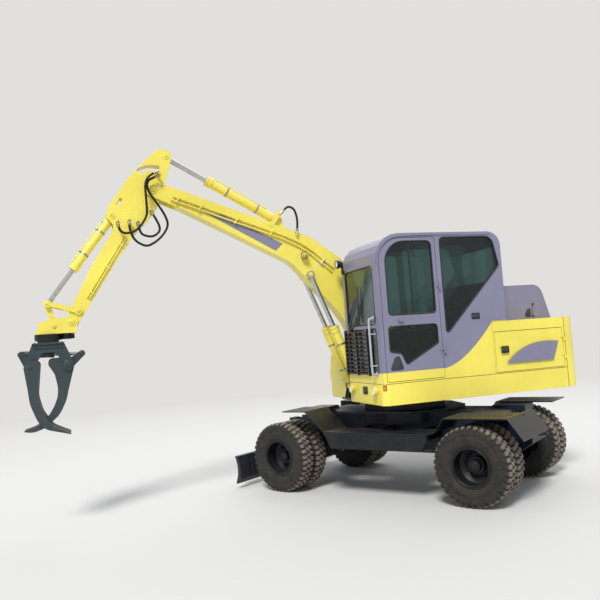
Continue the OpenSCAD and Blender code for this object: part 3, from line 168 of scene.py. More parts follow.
# Corners of windows and door in the side view: along, up, radius
DOOR_OUTLINE = ((-0.036, 1.345, 0.020), (0.705, 1.345, 0.020), (0.705, 2.986, 0.290), (-0.036, 2.986, 0.040))
DOOR_TOP_WINDOW = ((0.020, 2.100, 0.040), (0.620, 2.100, 0.040), (0.620, 2.940, 0.240),
                   (0.020, 2.940, 0.060))
DOOR_LOW_WINDOW = ((0.020, 1.750, 0.030), (0.440, 1.530, 0.020), (0.500, 1.660, 0), (0.640, 1.685, 0.025),
                   (0.640, 1.970, 0.040), (0.020, 1.970, 0.040))
REAR_SIDE_WINDOW = ((-0.100, 1.830, 0.025), (-0.100, 2.975, 0.050), (-0.810, 2.975, 0.110),
                    (-0.885, 2.620, 0.060))
RIGHT_LOW_WINDOW = ((-0.030, 1.700, 0.060), (0.620, 1.700, 0.060), (0.620, 2.040, 0.040),
                    (-0.030, 2.040, 0.040))
RIGHT_TOP_WINDOW = ((-0.030, 2.110, 0.040), (0.620, 2.110, 0.040), (0.620, 2.900, 0.240),
                    (-0.030, 2.900, 0.060))
# And in the front view
WINDSCREEN = ((0.075, 2.010, 0.040), (0.881, 2.010, 0.040), (0.881, 2.680, 0.060), (0.075, 2.680, 0.060))
LOW_WINDSCREEN = ((0.075, 1.450, 0.030), (0.881, 1.450, 0.030), (0.881, 1.960, 0.030), (0.075, 1.960, 0.030))
BACK_WINDOW = ((0.110, 2.450, 0.040), (0.846, 2.450, 0.040), (0.846, 2.870, 0.060), (0.110, 2.870, 0.060))


# Shapes
def frame_along(axis):
    """A turn that takes +Z to the axis."""
    return UP.rotation_difference(Vector(axis).normalized()).to_matrix().to_4x4()


def swept_line(name, points, radius, closed=False, smooth=True, sides=3):
    """A curve through points, swept by a circle."""
    curve = bpy.data.curves.new(name, "CURVE")
    curve.dimensions = "3D"
    curve.bevel_depth = radius
    curve.bevel_resolution = sides
    curve.use_fill_caps = not closed
    curve.resolution_u = 6
    spline = curve.splines.new("BEZIER" if smooth else "POLY")
    knots = spline.bezier_points if smooth else spline.points
    knots.add(len(points) - 1)
    for knot, point in zip(knots, points):
        knot.co = point if smooth else (*point, 1.0)
        if smooth:
            knot.handle_left_type = knot.handle_right_type = "AUTO"
    spline.use_cyclic_u = closed
    return curve


def folds(edge, degrees):
    """Whether two faces meet at the edge at more than this angle."""
    return len(edge.link_faces) == 2 and edge.calc_face_angle(0) > math.radians(degrees)


def push(part, geometry, vector):
    """Extrudes faces and moves the new ones along a vector."""
    new = bmesh.ops.extrude_face_region(part, geom=geometry)["geom"]
    verts = [item for item in new if isinstance(item, bmesh.types.BMVert)]
    bmesh.ops.translate(part, vec=Vector(vector), verts=verts)


class Piece:
    """A piece in the making: shapes are added one by one, then it becomes an object on a body."""

    def __init__(self, place=None):
        self.bm = bmesh.new()
        self.place = place or Matrix()

    def add(self, part, bevel=0.0, segments=2, finish=0):
        """Takes in one closed shape, with its sharp edges bevelled."""
        bmesh.ops.remove_doubles(part, verts=part.verts, dist=1e-6)
        bmesh.ops.recalc_face_normals(part, faces=part.faces)
        if bevel:
            sharp = [edge for edge in part.edges if folds(edge, 32)]
            bmesh.ops.bevel(part, geom=sharp, offset=bevel, offset_type="OFFSET", segments=segments,
                            profile=0.5, affect="EDGES", material=-1, clamp_overlap=True)
        for face in part.faces:
            face.smooth = True
            face.material_index = finish
        for edge in part.edges:
            if folds(edge, 38):
                edge.smooth = False
        part.transform(self.place)
        held = bpy.data.meshes.new("held")
        part.to_mesh(held)
        self.bm.from_mesh(held)
        bpy.data.meshes.remove(held)
        part.free()
        return self

    def box(self, low, high, bevel=0.003, **how):
        """A block from its lowest to its highest corner."""
        part = bmesh.new()
        low, high = Vector(low), Vector(high)
        bmesh.ops.create_cube(part, size=1.0)
        bmesh.ops.scale(part, vec=high - low, verts=part.verts)
        bmesh.ops.translate(part, vec=(low + high) / 2, verts=part.verts)
        return self.add(part, bevel=bevel, **how)

    def bar(self, start, end, radius, sides=24, bevel=0.0, **how):
        """A round bar between two points."""
        part = bmesh.new()
        start, end = Vector(start), Vector(end)
        bmesh.ops.create_cone(part, cap_ends=True, segments=sides, radius1=radius, radius2=radius,
                              depth=(end - start).length)
        part.transform(Matrix.Translation((start + end) / 2) @ frame_along(end - start))
        return self.add(part, bevel=bevel, **how)

    def lathe(self, profile, at, axis, steps=48, **how):
        """A profile of (radius, height) turned about an axis through a point. Closed where it is a loop."""
        part = bmesh.new()
        verts = [part.verts.new((radius, 0, height)) for radius, height in profile]
        edges = [part.edges.new(pair) for pair in zip(verts, verts[1:] + verts[:1])]
        bmesh.ops.spin(part, geom=verts + edges, cent=(0, 0, 0), axis=UP, dvec=(0, 0, 0),
                       angle=2 * math.pi, steps=steps, use_merge=True, use_duplicate=False)
        bmesh.ops.dissolve_degenerate(part, dist=1e-6, edges=part.edges)
        part.transform(Matrix.Translation(Vector(at)) @ frame_along(axis))
        return self.add(part, **how)

    def band(self, radii, heights, at, axis, steps=40, **how):
        """A square ring about an axis: inner and outer radius, low and high end along the axis."""
        (inner, outer), (low, high) = radii, heights
        return self.lathe([(inner, low), (outer, low), (outer, high), (inner, high)], at, axis, steps, **how)

    def plate(self, outline, depth, bevel=0.0, **how):
        """A flat outline of points, pushed along a vector."""
        part = bmesh.new()
        face = part.faces.new([part.verts.new(p) for p in outline])
        push(part, [face], depth)
        return self.add(part, bevel=bevel, **how)

    def border(self, outline, width, depth, bevel=0.0, **how):
        """A flat ring along the inside of an outline, pushed along a vector."""
        part = bmesh.new()
        face = part.faces.new([part.verts.new(p) for p in outline])
        bmesh.ops.inset_region(part, faces=[face], thickness=width, depth=0.0, use_even_offset=True,
                               use_boundary=True)
        part.faces.ensure_lookup_table()
        inner = max(part.faces, key=lambda each: len(each.verts))
        bmesh.ops.delete(part, geom=[inner], context="FACES_ONLY")
        push(part, part.faces[:], depth)
        return self.add(part, bevel=bevel, **how)

    def pipe(self, points, radius, closed=False, smooth=True, sides=3, **how):
        """A round tube along points, swept by a curve."""
        curve = swept_line("route", points, radius, closed, smooth, sides)
        holder = bpy.data.objects.new("route", curve)
        mesh = bpy.data.meshes.new_from_object(holder)
        part = bmesh.new()
        part.from_mesh(mesh)
        bpy.data.objects.remove(holder)
        bpy.data.curves.remove(curve)
        bpy.data.meshes.remove(mesh)
        return self.add(part, **how)

    def bolt(self, at, axis, size=0.012, washer=True, **how):
        """A hexagon head on a washer, with its seat at a point."""
        at, axis = Vector(at), Vector(axis).normalized()
        if washer:
            self.bar(at, at + axis * size * 0.18, size * 1.05, 20, **how)
            at = at + axis * size * 0.18
        return self.bar(at, at + axis * size * 0.75, size * 0.8, 6, bevel=size * 0.09, segments=1, **how)

    def done(self, name, body, finishes, slot, replaces=()):
        """Makes the object, puts it on its body and gives it its finishes."""
        mesh = bpy.data.meshes.new(name)
        self.bm.to_mesh(mesh)
        self.bm.free()
        piece = bpy.data.objects.new(name, mesh)
        bpy.context.scene.collection.objects.link(piece)
        for finish in [finishes] if isinstance(finishes, str) else finishes:
            mesh.materials.append(material(finish))
        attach(piece, body)
        if replaces:
            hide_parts(*replaces)
        return piece


# Finishes
class Nodes:
    """Adds and joins the nodes of one tree."""

    def __init__(self, tree):
        self.tree = tree

    def add(self, kind, inputs=None, **settings):
        """A new node with its settings and inputs."""
        node = self.tree.nodes.new(kind if kind.startswith("Node") else "ShaderNode" + kind)
        for key, value in settings.items():
            setattr(node, key, value)
        for key, value in (inputs or {}).items():
            self.feed(node.inputs[key], value)
        return node

    def feed(self, socket, value):
        """Joins the socket to another one, or sets it."""
        if isinstance(value, bpy.types.NodeSocket):
            self.tree.links.new(value, socket)
        else:
            socket.default_value = value

    def maths(self, operation, a, b=0.0, clamp=False):
        return self.add("Math", {0: a, 1: b}, operation=operation, use_clamp=clamp).outputs[0]

    def between(self, value, low, high, to_low=0.0, to_high=1.0):
        """The value's place between low and high, held within them."""
        return self.add("MapRange", {"Value": value, "From Min": low, "From Max": high, "To Min": to_low,
                                     "To Max": to_high}).outputs["Result"]

    def noise(self, where, scale, detail=4.0, roughness=0.55):
        return self.add("TexNoise", {"Vector": where, "Scale": scale, "Detail": detail,
                                     "Roughness": roughness}).outputs["Fac"]

    def mix(self, share, a, b):
        return self.add("Mix", {0: share, 6: a, 7: b}, data_type="RGBA").outputs[2]

    def stretched(self, where, scale):
        return self.add("Mapping", {"Vector": where, "Scale": scale}).outputs["Vector"]


def node_group(name, inputs, outputs, build):
    """A shader node group, built once."""
    tree = bpy.data.node_groups.get(name)
    if tree:
        return tree
    tree = bpy.data.node_groups.new(name, "ShaderNodeTree")
    for label, default in inputs:
        socket = tree.interface.new_socket(label, in_out="INPUT", socket_type="NodeSocketFloat")
        socket.default_value = default
    for label, kind in outputs:
        tree.interface.new_socket(label, in_out="OUTPUT", socket_type=kind)
    nodes = Nodes(tree)
    start, end = nodes.add("NodeGroupInput"), nodes.add("NodeGroupOutput")
    for label, socket in build(nodes, start.outputs).items():
        tree.links.new(socket, end.inputs[label])
    return tree


def object_place(nodes):
    """The point's place in the object's own coordinates."""
    return nodes.add("TexCoord").outputs["Object"]


def soft_edge(nodes, given):
    """Rounds the sharp edges of plain meshes to the light, and finds them for wear."""
    bevel = nodes.add("Bevel", {"Radius": given["Radius"]}, samples=4)
    surface = nodes.add("NewGeometry").outputs["Normal"]
    turn = nodes.add("VectorMath", {0: bevel.outputs[0], 1: surface}, operation="DOT_PRODUCT")
    return {"Normal": bevel.outputs[0], "Edge": nodes.between(turn.outputs["Value"], 0.985, 0.80)}


def settled_dust(nodes, given):
    """Dust on what faces up, and splashes up to a height above the ground."""
    where = object_place(nodes)
    facing = nodes.add("SeparateXYZ", {0: nodes.add("NewGeometry").outputs["Normal"]}).outputs["Z"]
    height = nodes.add("SeparateXYZ", {0: where}).outputs["Z"]
    cloud = nodes.noise(where, 5.0, 6.0, 0.62)
    grit = nodes.noise(where, 90.0, 3.0)
    lying = nodes.maths("MULTIPLY", nodes.between(facing, 0.25, 0.95), nodes.between(cloud, 0.30, 0.62))
    ragged = nodes.maths("ADD", height, nodes.between(cloud, 0.2, 0.8, -0.5, 0.5))
    low = nodes.between(ragged, given["Reach"], 0.0)
    both = nodes.maths("MAXIMUM", nodes.maths("MULTIPLY", lying, given["Lying"]),
                       nodes.maths("MULTIPLY", low, given["Splash"]))
    return {"Mask": nodes.maths("MULTIPLY", both, nodes.between(grit, 0.25, 0.6, 0.6, 1.0), clamp=True)}


def chips_and_rust(nodes, given):
    """Chips along edges and small ones on faces, with rust in them."""
    where = object_place(nodes)
    patch = nodes.noise(where, 3.2, 3.0)
    fine = nodes.noise(where, 46.0, 5.0, 0.7)
    level = nodes.maths("ADD", fine, nodes.between(patch, 0.35, 0.7, 0.0, 0.03))
    on_edge = nodes.maths("MULTIPLY", given["Edge"], nodes.between(level, 0.52, 0.60))
    on_face = nodes.between(level, 0.745, 0.76)
    mask = nodes.maths("MULTIPLY", nodes.maths("MAXIMUM", on_edge, on_face), given["Amount"], clamp=True)
    return {"Mask": mask, "Rust": nodes.between(nodes.noise(where, 70.0, 4.0), 0.4, 0.6)}


def run_marks(nodes, given):
    """Faint streaks that water leaves down a wall."""
    where = object_place(nodes)
    drawn = nodes.stretched(where, (14.0, 14.0, 0.9))
    streak = nodes.between(nodes.noise(drawn, 1.6, 4.0, 0.6), 0.5, 0.78)
    broad = nodes.between(nodes.noise(where, 1.7, 3.0), 0.35, 0.7)
    both = nodes.maths("MULTIPLY", streak, broad)
    return {"Mask": nodes.maths("MULTIPLY", both, given["Amount"], clamp=True)}


def grain(nodes, given):
    """Height of a fine grain with a slow wave under it."""
    where = object_place(nodes)
    fine = nodes.maths("MULTIPLY", nodes.noise(where, given["Scale"], 2.0), given["Fine"])
    wave = nodes.maths("MULTIPLY", nodes.noise(where, 2.4, 2.0), given["Wave"])
    return {"Height": nodes.maths("ADD", fine, wave)}


FLOAT, VECTOR = "NodeSocketFloat", "NodeSocketVector"
GROUPS = {
    "Soft edge": ((("Radius", 0.003),), (("Normal", VECTOR), ("Edge", FLOAT)), soft_edge),
    "Settled dust": ((("Lying", 0.5), ("Splash", 0.5), ("Reach", 0.9)), (("Mask", FLOAT),),
                     settled_dust),
    "Chips and rust": ((("Edge", 0.0), ("Amount", 0.5)), (("Mask", FLOAT), ("Rust", FLOAT)),
                       chips_and_rust),
    "Run marks": ((("Amount", 0.3),), (("Mask", FLOAT),), run_marks),
    "Grain": ((("Scale", 300.0), ("Fine", 1.0), ("Wave", 0.0)), (("Height", FLOAT),), grain),
}


def effect(nodes, name, **inputs):
    """Places one of the shared effects."""
    made = nodes.add("Group", node_tree=node_group(name, *GROUPS[name]))
    for key, value in inputs.items():
        nodes.feed(made.inputs[key], value)
    return made.outputs


def new_material(name):
    """A material with a shader and nothing else: itself, its nodes and the shader."""
    made = bpy.data.materials.new(name)
    made.use_nodes = True
    made.node_tree.nodes.clear()
    nodes = Nodes(made.node_tree)
    shader = nodes.add("BsdfPrincipled")
    out = nodes.add("OutputMaterial")
    made.node_tree.links.new(shader.outputs[0], out.inputs["Surface"])
    return made, nodes, shader


def rgba(value):
    """A colour with full cover."""
    return (*value, 1.0)


RUST = (0.16, 0.055, 0.022, 1.0)
PRIMER = (0.10, 0.085, 0.075, 1.0)
# Tone of the lug tops: dust, and a painted highlight
TREAD_DUST_AND_HIGHLIGHT = (0.34, 0.285, 0.225, 1.0)
GLASS_ALPHA = 0.80
# Drift of a paint's brightness, scale and height of its grain, and how much rougher worn spots are
PAINT_DRIFT, PAINT_GRAIN, PAINT_BUMP, WORN_ROUGHNESS = 0.10, 260.0, 0.12, 0.45


def feed_all(nodes, shader, values):
    """Sets or joins the shader's sockets by their names."""
    for key, value in values.items():
        nodes.feed(shader.inputs[key], value)


def bumped(nodes, height, strength, distance, normal=None):
    """The normal of a surface with this height, laid over another normal where one is given."""
    inputs = {"Strength": strength, "Distance": distance, "Height": height}
    if normal:
        inputs["Normal"] = normal
    return nodes.add("Bump", inputs).outputs["Normal"]


def grain_height(nodes, scale, wave=0.0):
    """The height of the shared grain at this scale."""
    return effect(nodes, "Grain", Scale=scale, Fine=1.0, Wave=wave)["Height"]


def paint(name, tone, gloss=0.32, lying=0.35, splash=0.0, reach=0.7, chips=0.3, runs=0.3, radius=0.004,
          coat=0.12, shine=0.5, wave=0.0, second=None):
    """Paint over steel: colour drift, chips with rust at edges, water runs and settled dust."""
    made, nodes, shader = new_material(name)
    colours = sizes("excavator_colours")
    where = object_place(nodes)
    base = rgba(getattr(colours, tone))
    if second:
        base = nodes.mix(second[1](nodes, where), base, rgba(getattr(colours, second[0])))
    drift = nodes.between(nodes.noise(where, 1.3, 3.0), 0.3, 0.7, 1.0 - PAINT_DRIFT, 1.0 + PAINT_DRIFT)
    drifted = nodes.add("HueSaturation", {"Color": base, "Value": drift}).outputs["Color"]
    edge = effect(nodes, "Soft edge", Radius=radius)
    dust = effect(nodes, "Settled dust", Lying=lying, Splash=splash, Reach=reach)["Mask"]
    chip = effect(nodes, "Chips and rust", Edge=edge["Edge"], Amount=chips)
    run = effect(nodes, "Run marks", Amount=runs)["Mask"]
    bare = nodes.mix(chip["Rust"], PRIMER, RUST)
    coloured = nodes.mix(nodes.maths("MULTIPLY", run, 0.55), drifted, rgba(colours.dust))
    coloured = nodes.mix(chip["Mask"], coloured, bare)
    coloured = nodes.mix(dust, coloured, rgba(colours.dust))
    worn = nodes.maths("MULTIPLY", nodes.maths("MAXIMUM", dust, chip["Mask"]), WORN_ROUGHNESS)
    rough = nodes.maths("ADD", gloss, worn, clamp=True)
    height = grain_height(nodes, PAINT_GRAIN, wave)
    height = nodes.maths("SUBTRACT", height, nodes.maths("MULTIPLY", chip["Mask"], 0.6))
    normal = bumped(nodes, height, PAINT_BUMP, 0.002, edge["Normal"])
    feed_all(nodes, shader, {"Base Color": coloured, "Roughness": rough, "Coat Weight": coat,
                             "Specular IOR Level": shine, "Coat Roughness": 0.12, "Normal": normal})
    return made


# Where the yellow's edge begins to rise on the cab and where it ends, its height, its rise and its curve
SWEEP_START, SWEEP_END, SWEEP_Z, SWEEP_RISE, SWEEP_POWER = -0.04, -0.73, 1.452, 0.505, 1.6


def below_the_sweep(nodes, where):
    """Where the body's yellow lies under the cab's lavender: a level line that sweeps up to the rear."""
    along = nodes.add("SeparateXYZ", {0: where}).outputs
    share = nodes.between(along["X"], SWEEP_START, SWEEP_END)
    rise = nodes.maths("MULTIPLY", nodes.maths("POWER", share, SWEEP_POWER), SWEEP_RISE)
    return nodes.maths("LESS_THAN", along["Z"], nodes.maths("ADD", rise, SWEEP_Z))


def tyre_rubber(name):
    """Black rubber, lighter where the tread's own attribute says: dust and a painted highlight on the lug
    tops, and darker in the grooves between them as painted shade.
    """
    made, nodes, shader = new_material(name)
    cloud = nodes.noise(object_place(nodes), 16.0, 6.0, 0.65)
    # Attribute high on the lug tops for dust and painted highlight, low in the grooves for painted shade
    worn = nodes.add("Attribute", attribute_name="tread").outputs["Fac"]
    mask = nodes.maths("MULTIPLY", nodes.maths("MAXIMUM", worn, 0.07), nodes.between(cloud, 0.24, 0.56),
                       clamp=True)
    finish_rubber(nodes, shader, mask, TREAD_DUST_AND_HIGHLIGHT, 160.0, 0.62)
    return made


def hose_rubber(name):
    """Black rubber with a little dust on what faces up."""
    made, nodes, shader = new_material(name)
    dust = effect(nodes, "Settled dust", Lying=0.3, Splash=0.4, Reach=0.5)["Mask"]
    finish_rubber(nodes, shader, nodes.maths("MULTIPLY", dust, 0.6), rgba(sizes("excavator_colours").dust),
                  700.0, 0.42)
    return made


def finish_rubber(nodes, shader, mask, dust, scale, clean_rough):
    """Rubber with dust where the mask says, and a grain of this scale."""
    tone = nodes.mix(mask, rgba(sizes("excavator_colours").rubber), dust)
    rough = nodes.between(mask, 0.0, 1.0, clean_rough, 0.95)
    normal = bumped(nodes, grain_height(nodes, scale), 0.25, 0.0015)
    feed_all(nodes, shader, {"Base Color": tone, "Roughness": rough, "Specular IOR Level": 0.25,
                             "Normal": normal})


def glass(name, tone, alpha):
    """Tinted window glass with a film of dust."""
    made, nodes, shader = new_material(name)
    film = nodes.between(nodes.noise(object_place(nodes), 3.0, 5.0, 0.6), 0.35, 0.75, 0.0, 0.10)
    rough = nodes.maths("ADD", film, 0.02)
    feed_all(nodes, shader, {"Base Color": rgba(tone), "Roughness": rough, "IOR": 1.45,
                             "Transmission Weight": 1.0, "Alpha": alpha})
    return made


def bare_metal(name, tone, rough, scratch):
    """Ground or cast metal with fine marks along it."""
    made, nodes, shader = new_material(name)
    cloud = nodes.noise(object_place(nodes), 22.0, 5.0)
    edge = effect(nodes, "Soft edge", Radius=0.002)
    normal = bumped(nodes, grain_height(nodes, 420.0), scratch, 0.001, edge["Normal"])
    tint = nodes.mix(nodes.between(cloud, 0.3, 0.7), rgba(tone), rgba(Vector(tone) * 0.75))
    worn = nodes.between(cloud, 0.3, 0.7, rough, rough + 0.12)
    feed_all(nodes, shader, {"Base Color": tint, "Roughness": worn, "Metallic": 1.0, "Normal": normal})
    return made


def moulded(name, tone, rough):
    """Grained plastic."""
    made, nodes, shader = new_material(name)
    edge = effect(nodes, "Soft edge", Radius=0.004)
    dust = effect(nodes, "Settled dust", Lying=0.25, Splash=0.3, Reach=0.4)["Mask"]
    normal = bumped(nodes, grain_height(nodes, 900.0), 0.2, 0.0008, edge["Normal"])
    tint = nodes.mix(dust, rgba(tone), rgba(sizes("excavator_colours").dust))
    worn = nodes.between(nodes.noise(object_place(nodes), 9.0, 3.0), 0.3, 0.7, rough - 0.08, rough + 0.08)
    feed_all(nodes, shader, {"Base Color": tint, "Roughness": worn, "Normal": normal})
    return made


def bands(nodes, where, scale, axis, **inputs):
    """Waves across one axis."""
    inputs = {"Vector": where, "Scale": scale, **inputs}
    return nodes.add("TexWave", inputs, bands_direction=axis).outputs["Fac"]


def woven(name, tone):
    """Woven seat cloth: two sets of threads that cross."""
    made, nodes, shader = new_material(name)
    where = object_place(nodes)
    waves = [bands(nodes, where, 260.0, axis, Distortion=0.6, Detail=1.0) for axis in ("X", "Y", "Z")]
    weave = nodes.maths("MULTIPLY", nodes.maths("MAXIMUM", waves[0], waves[1]), waves[2])
    tint = nodes.mix(nodes.maths("MULTIPLY", weave, 0.6), rgba(tone), rgba(Vector(tone) * 2.2))
    normal = bumped(nodes, weave, 0.4, 0.0012)
    feed_all(nodes, shader, {"Base Color": tint, "Roughness": 0.92, "Sheen Weight": 0.25, "Normal": normal})
    return made


def lens(name, tone):
    """A moulded lamp lens."""
    made, nodes, shader = new_material(name)
    normal = bumped(nodes, bands(nodes, object_place(nodes), 42.0, "Y", Distortion=0.0), 0.5, 0.002)
    feed_all(nodes, shader, {"Base Color": rgba(tone), "Roughness": 0.12, "Coat Weight": 0.6,
                             "Normal": normal})
    return made


FINISHES = {
    "yellow": lambda: paint("yellow paint", "yellow", gloss=0.30, lying=0.06, chips=0.45, runs=0.22,
                            wave=0.6),
    "worn_yellow": lambda: paint("worn yellow paint", "yellow", gloss=0.34, lying=0.06, chips=0.5),
    "lavender": lambda: paint("lavender paint", "lavender", gloss=0.38, lying=0.25, chips=0.35, runs=0.35),
    "two_tone": lambda: paint("lavender over yellow paint", "lavender", gloss=0.38, lying=0.25, chips=0.35,
                              second=("yellow", below_the_sweep)),
    "navy": lambda: paint("chassis paint", "navy", gloss=0.40, lying=0.09, splash=0.06, reach=0.5,
                          chips=0.4, runs=0.12, coat=0.0, shine=0.3),
    "satin_black": lambda: paint("fender paint", "black", gloss=0.36, lying=0.08, splash=0.04, reach=0.6,
                                 runs=0.1, coat=0.0, shine=0.3),
    "clean_black": lambda: paint("black fittings paint", "black", gloss=0.40, lying=0.15, runs=0.1,
                                 radius=0.002),
    "rim_black": lambda: paint("rim paint", "black", gloss=0.40, lying=0.05, splash=0.03, reach=0.9,
                               chips=0.5, runs=0.0, coat=0.0, shine=0.25),
    "rail_grey": lambda: paint("rail paint", "grey", gloss=0.35, lying=0.10, runs=0.1, radius=0.002),
    "grapple": lambda: paint("grapple paint", "teal", gloss=0.38, lying=0.07, splash=0.05, reach=1.5,
                             chips=0.8, runs=0.15, coat=0.1),
    "cast": lambda: bare_metal("cast steel", (0.16, 0.16, 0.165), 0.5, 0.5),
    "zinc": lambda: bare_metal("zinc plated steel", (0.42, 0.41, 0.38), 0.34, 0.2),
    "chrome": lambda: bare_metal("ground chrome", (0.58, 0.59, 0.61), 0.12, 0.02),
    "sign_white": lambda: moulded("sign film", (0.62, 0.62, 0.60), 0.32),
    "tyre": lambda: tyre_rubber("tyre rubber"),
    "hose": lambda: hose_rubber("hose rubber"),
    "seal": lambda: moulded("window rubber", (0.010, 0.010, 0.011), 0.5),
    "glass_border": lambda: moulded("printed glass border", (0.006, 0.007, 0.008), 0.16),
    "plastic": lambda: moulded("grained plastic", (0.035, 0.036, 0.040), 0.55),
    "trim_grey": lambda: moulded("grey cab trim", (0.16, 0.16, 0.17), 0.6),
    "seat_cloth": lambda: woven("seat cloth", (0.022, 0.023, 0.027)),
    "glass": lambda: glass("window glass", sizes("excavator_colours").glass, GLASS_ALPHA),
    "clear_lens": lambda: lens("lamp glass", (0.78, 0.80, 0.80)),
    "orange_lens": lambda: lens("indicator glass", (0.85, 0.16, 0.02)),
    "red_lens": lambda: lens("tail lamp glass", (0.50, 0.02, 0.015)),
}


def material(name):
    """A finish by its name, made when it is first asked for."""
    key = "finish_" + name
    made = bpy.data.materials.get(key)
    if made is None:
        made = FINISHES[name]()
        made.name = key
    return made


NODE_FINISHES = {
    "yellow": ("body_skirt", "counterweight", "left_panel", "service_door", "right_cover", "boom_pipes"),
    "worn_yellow": ("boom", "boom_barrels", "arm", "arm_barrel", "tool_barrel", "tilt_lever", "tilt_link",
                    "hanger"),
    "lavender": ("engine_hood",),
    "two_tone": ("cab_shell", "cab_door"),
    "navy": ("chassis_frame", "front_axle", "rear_axle", "blade", "blade_barrels"),
    "satin_black": ("fenders_steps", "upper_frame", "rotator"),
    "clean_black": ("front_guard",),
    "rim_black": ("rims_front_left", "rims_front_right", "rims_rear_left", "rims_rear_right"),
    "grapple": ("grapple_head", "front_jaw", "rear_jaw", "jaw_barrel"),
    "cast": ("knuckle_left", "knuckle_right", "engine_block", "drive_shaft"),
    "chrome": ("blade_rods", "boom_rods", "arm_rod", "tool_rod", "jaw_rod"),
    "glass": ("cab_glass", "door_glass"),
    "plastic": ("cab_controls",),
}


# Hoses
BOOM_PIN, ARM_PIN, TOOL_PIN = (PIVOT[name] for name in ("boom_lift", "arm_swing", "tool_tilt"))
BOOM_LENGTH = (ARM_PIN - BOOM_PIN).length
ARM_LENGTH = (TOOL_PIN - ARM_PIN).length
# Half widths of boom and arm
BOOM_FACE, ARM_FACE = 0.100, 0.078
INNER_PLANE = BOOM_Y + ARM_FACE + 0.082
OUTER_PLANE = INNER_PLANE + 0.034


def off_line(start, end, along, over, y):
    """The point so far along the line of two pins and so far over it, at y."""
    line = (end - start).normalized()
    return Vector((start.x + along * line.x - over * line.z, y, start.z + along * line.z + over * line.x))


def on_boom(along, over, y):
    """A point by its place along the boom and over its line."""
    return off_line(BOOM_PIN, ARM_PIN, along, over, y)


def on_arm(along, over, y):
    """A point by its place along the arm and over its line."""
    return off_line(ARM_PIN, TOOL_PIN, along, over, y)


# Middles of the pins that the rods' eyes turn on
BOOM_EYE = on_boom(0.36 * BOOM_LENGTH, 0.333, BOOM_Y)
ARM_EYE = on_arm(-0.434, 0.066, BOOM_Y)
TOOL_EYE = on_arm(ARM_LENGTH - 0.048, 0.331, BOOM_Y)
# Corners of each route in its part's frame; on the boom as shares of its length
OVER_THE_FOOT = ((0.5825, 0.760), (0.575, 0.860), (0.55, 0.880), (0.5185, 0.800), (0.493, 0.675))
OUTER_LOOP = ((-0.170, 0.065), (-0.075, 0.110), (0.030, 0.095), (0.200, -0.015), (0.325, -0.090),
              (0.445, -0.100), (0.560, -0.075), (0.640, 0.000), (0.645, 0.070), (0.590, 0.130))
LONG_LOOP = ((-0.145, 0.030), (-0.035, 0.090), (0.060, 0.035), (0.130, -0.100), (0.200, -0.245),
             (0.280, -0.345), (0.375, -0.370), (0.505, -0.350), (0.635, -0.275), (0.650, -0.135),
             (0.580, -0.025), (0.500, 0.035))
SHORT_LOOP = ((0.265, -0.125), (0.345, -0.260), (0.415, -0.310), (0.510, -0.270), (0.545, -0.155),
              (0.465, -0.060))
# node: body, corners in the frame's own axes
HOSES = {
    "boom_hose": ("boom", [on_boom(share * BOOM_LENGTH, over, BOOM_Y + BOOM_FACE + 0.020)
                           for share, over in OVER_THE_FOOT]),
    "arm_hose_outer": ("arm", [on_arm(along, over, OUTER_PLANE) for along, over in OUTER_LOOP]),
    "arm_hose_long": ("arm", [on_arm(along, over, INNER_PLANE) for along, over in LONG_LOOP]),
    "arm_hose_short": ("arm", [on_arm(along, over, INNER_PLANE) for along, over in SHORT_LOOP]),
}


def smooth_line(corners):
    """The same smooth line as the solids follow: one more point between each two corners."""
    last = len(corners) - 1
    line = []
    for i in range(last):
        line.append(corners[i])
        outer = corners[max(i - 1, 0)] + corners[min(i + 2, last)]
        line.append((9 * (corners[i] + corners[i + 1]) - outer) / 16)
    return line + corners[last:]


def hose_end(piece, end, inward, radius):
    """A crimped sleeve on the hose and a nut on its port; inward is the next point of the hose."""
    out = (end - inward).normalized()
    piece.bar(end - out * 0.038, end + out * 0.0005, radius + 0.0032, 20, 0.0015)
    for k in range(3):
        at = end - out * (0.008 + 0.011 * k)
        piece.bar(at, at - out * 0.004, radius + 0.0044, 20)
    piece.bar(end + out * 0.004, end + out * 0.026, radius + 0.0085, 6, 0.0015)


class EXCAVATOR_OT_hoses(bpy.types.Operator):
    """Hydraulic hoses that hang free, with the fittings at their ends"""
    bl_idname = "excavator.hoses"
    bl_label = "Hoses"

    def execute(self, context):
        fittings = {"boom": Piece(), "arm": Piece()}
        radius = sizes("trim_sizes").hose / 2
        for node, (body, corners) in HOSES.items():
            line = smooth_line(corners)
            if len(line) < 15:
                line = smooth_line(line)
            curve = swept_line("pressure_" + node, line, radius)
            curve.materials.append(material("hose"))
            hose = bpy.data.objects.new(curve.name, curve)
            context.scene.collection.objects.link(hose)
            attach(hose, body)
            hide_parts(node)
            hose_end(fittings[body], line[0], line[1], radius)
            hose_end(fittings[body], line[-1], line[-2], radius)
        for body, piece in fittings.items():
            piece.done(body + "_hose_fittings", body, "zinc", "yellow_paint")
        return {"FINISHED"}


# Pieces of the frame
class EXCAVATOR_OT_paint(bpy.types.Operator):
    """Gives every node of the frame its finish"""
    bl_idname = "excavator.paint"
    bl_label = "Paint the frame"

    def execute(self, context):
        for finish, names in NODE_FINISHES.items():
            for name in names:
                materials = NODES[name].data.materials
                for i in range(len(materials)):
                    materials[i] = material(finish)
        return {"FINISHED"}


# Wheels
AXLE_X = {"front": 1.270, "rear": -1.244}
KINGPIN_Y = 0.480
CORNERS = {(end, hand): body for end, hand, body in (
    ("front", "left", "wheel_fl"), ("front", "right", "wheel_fr"), ("rear", "left", "wheel_rl"),
    ("rear", "right", "wheel_rr"))}
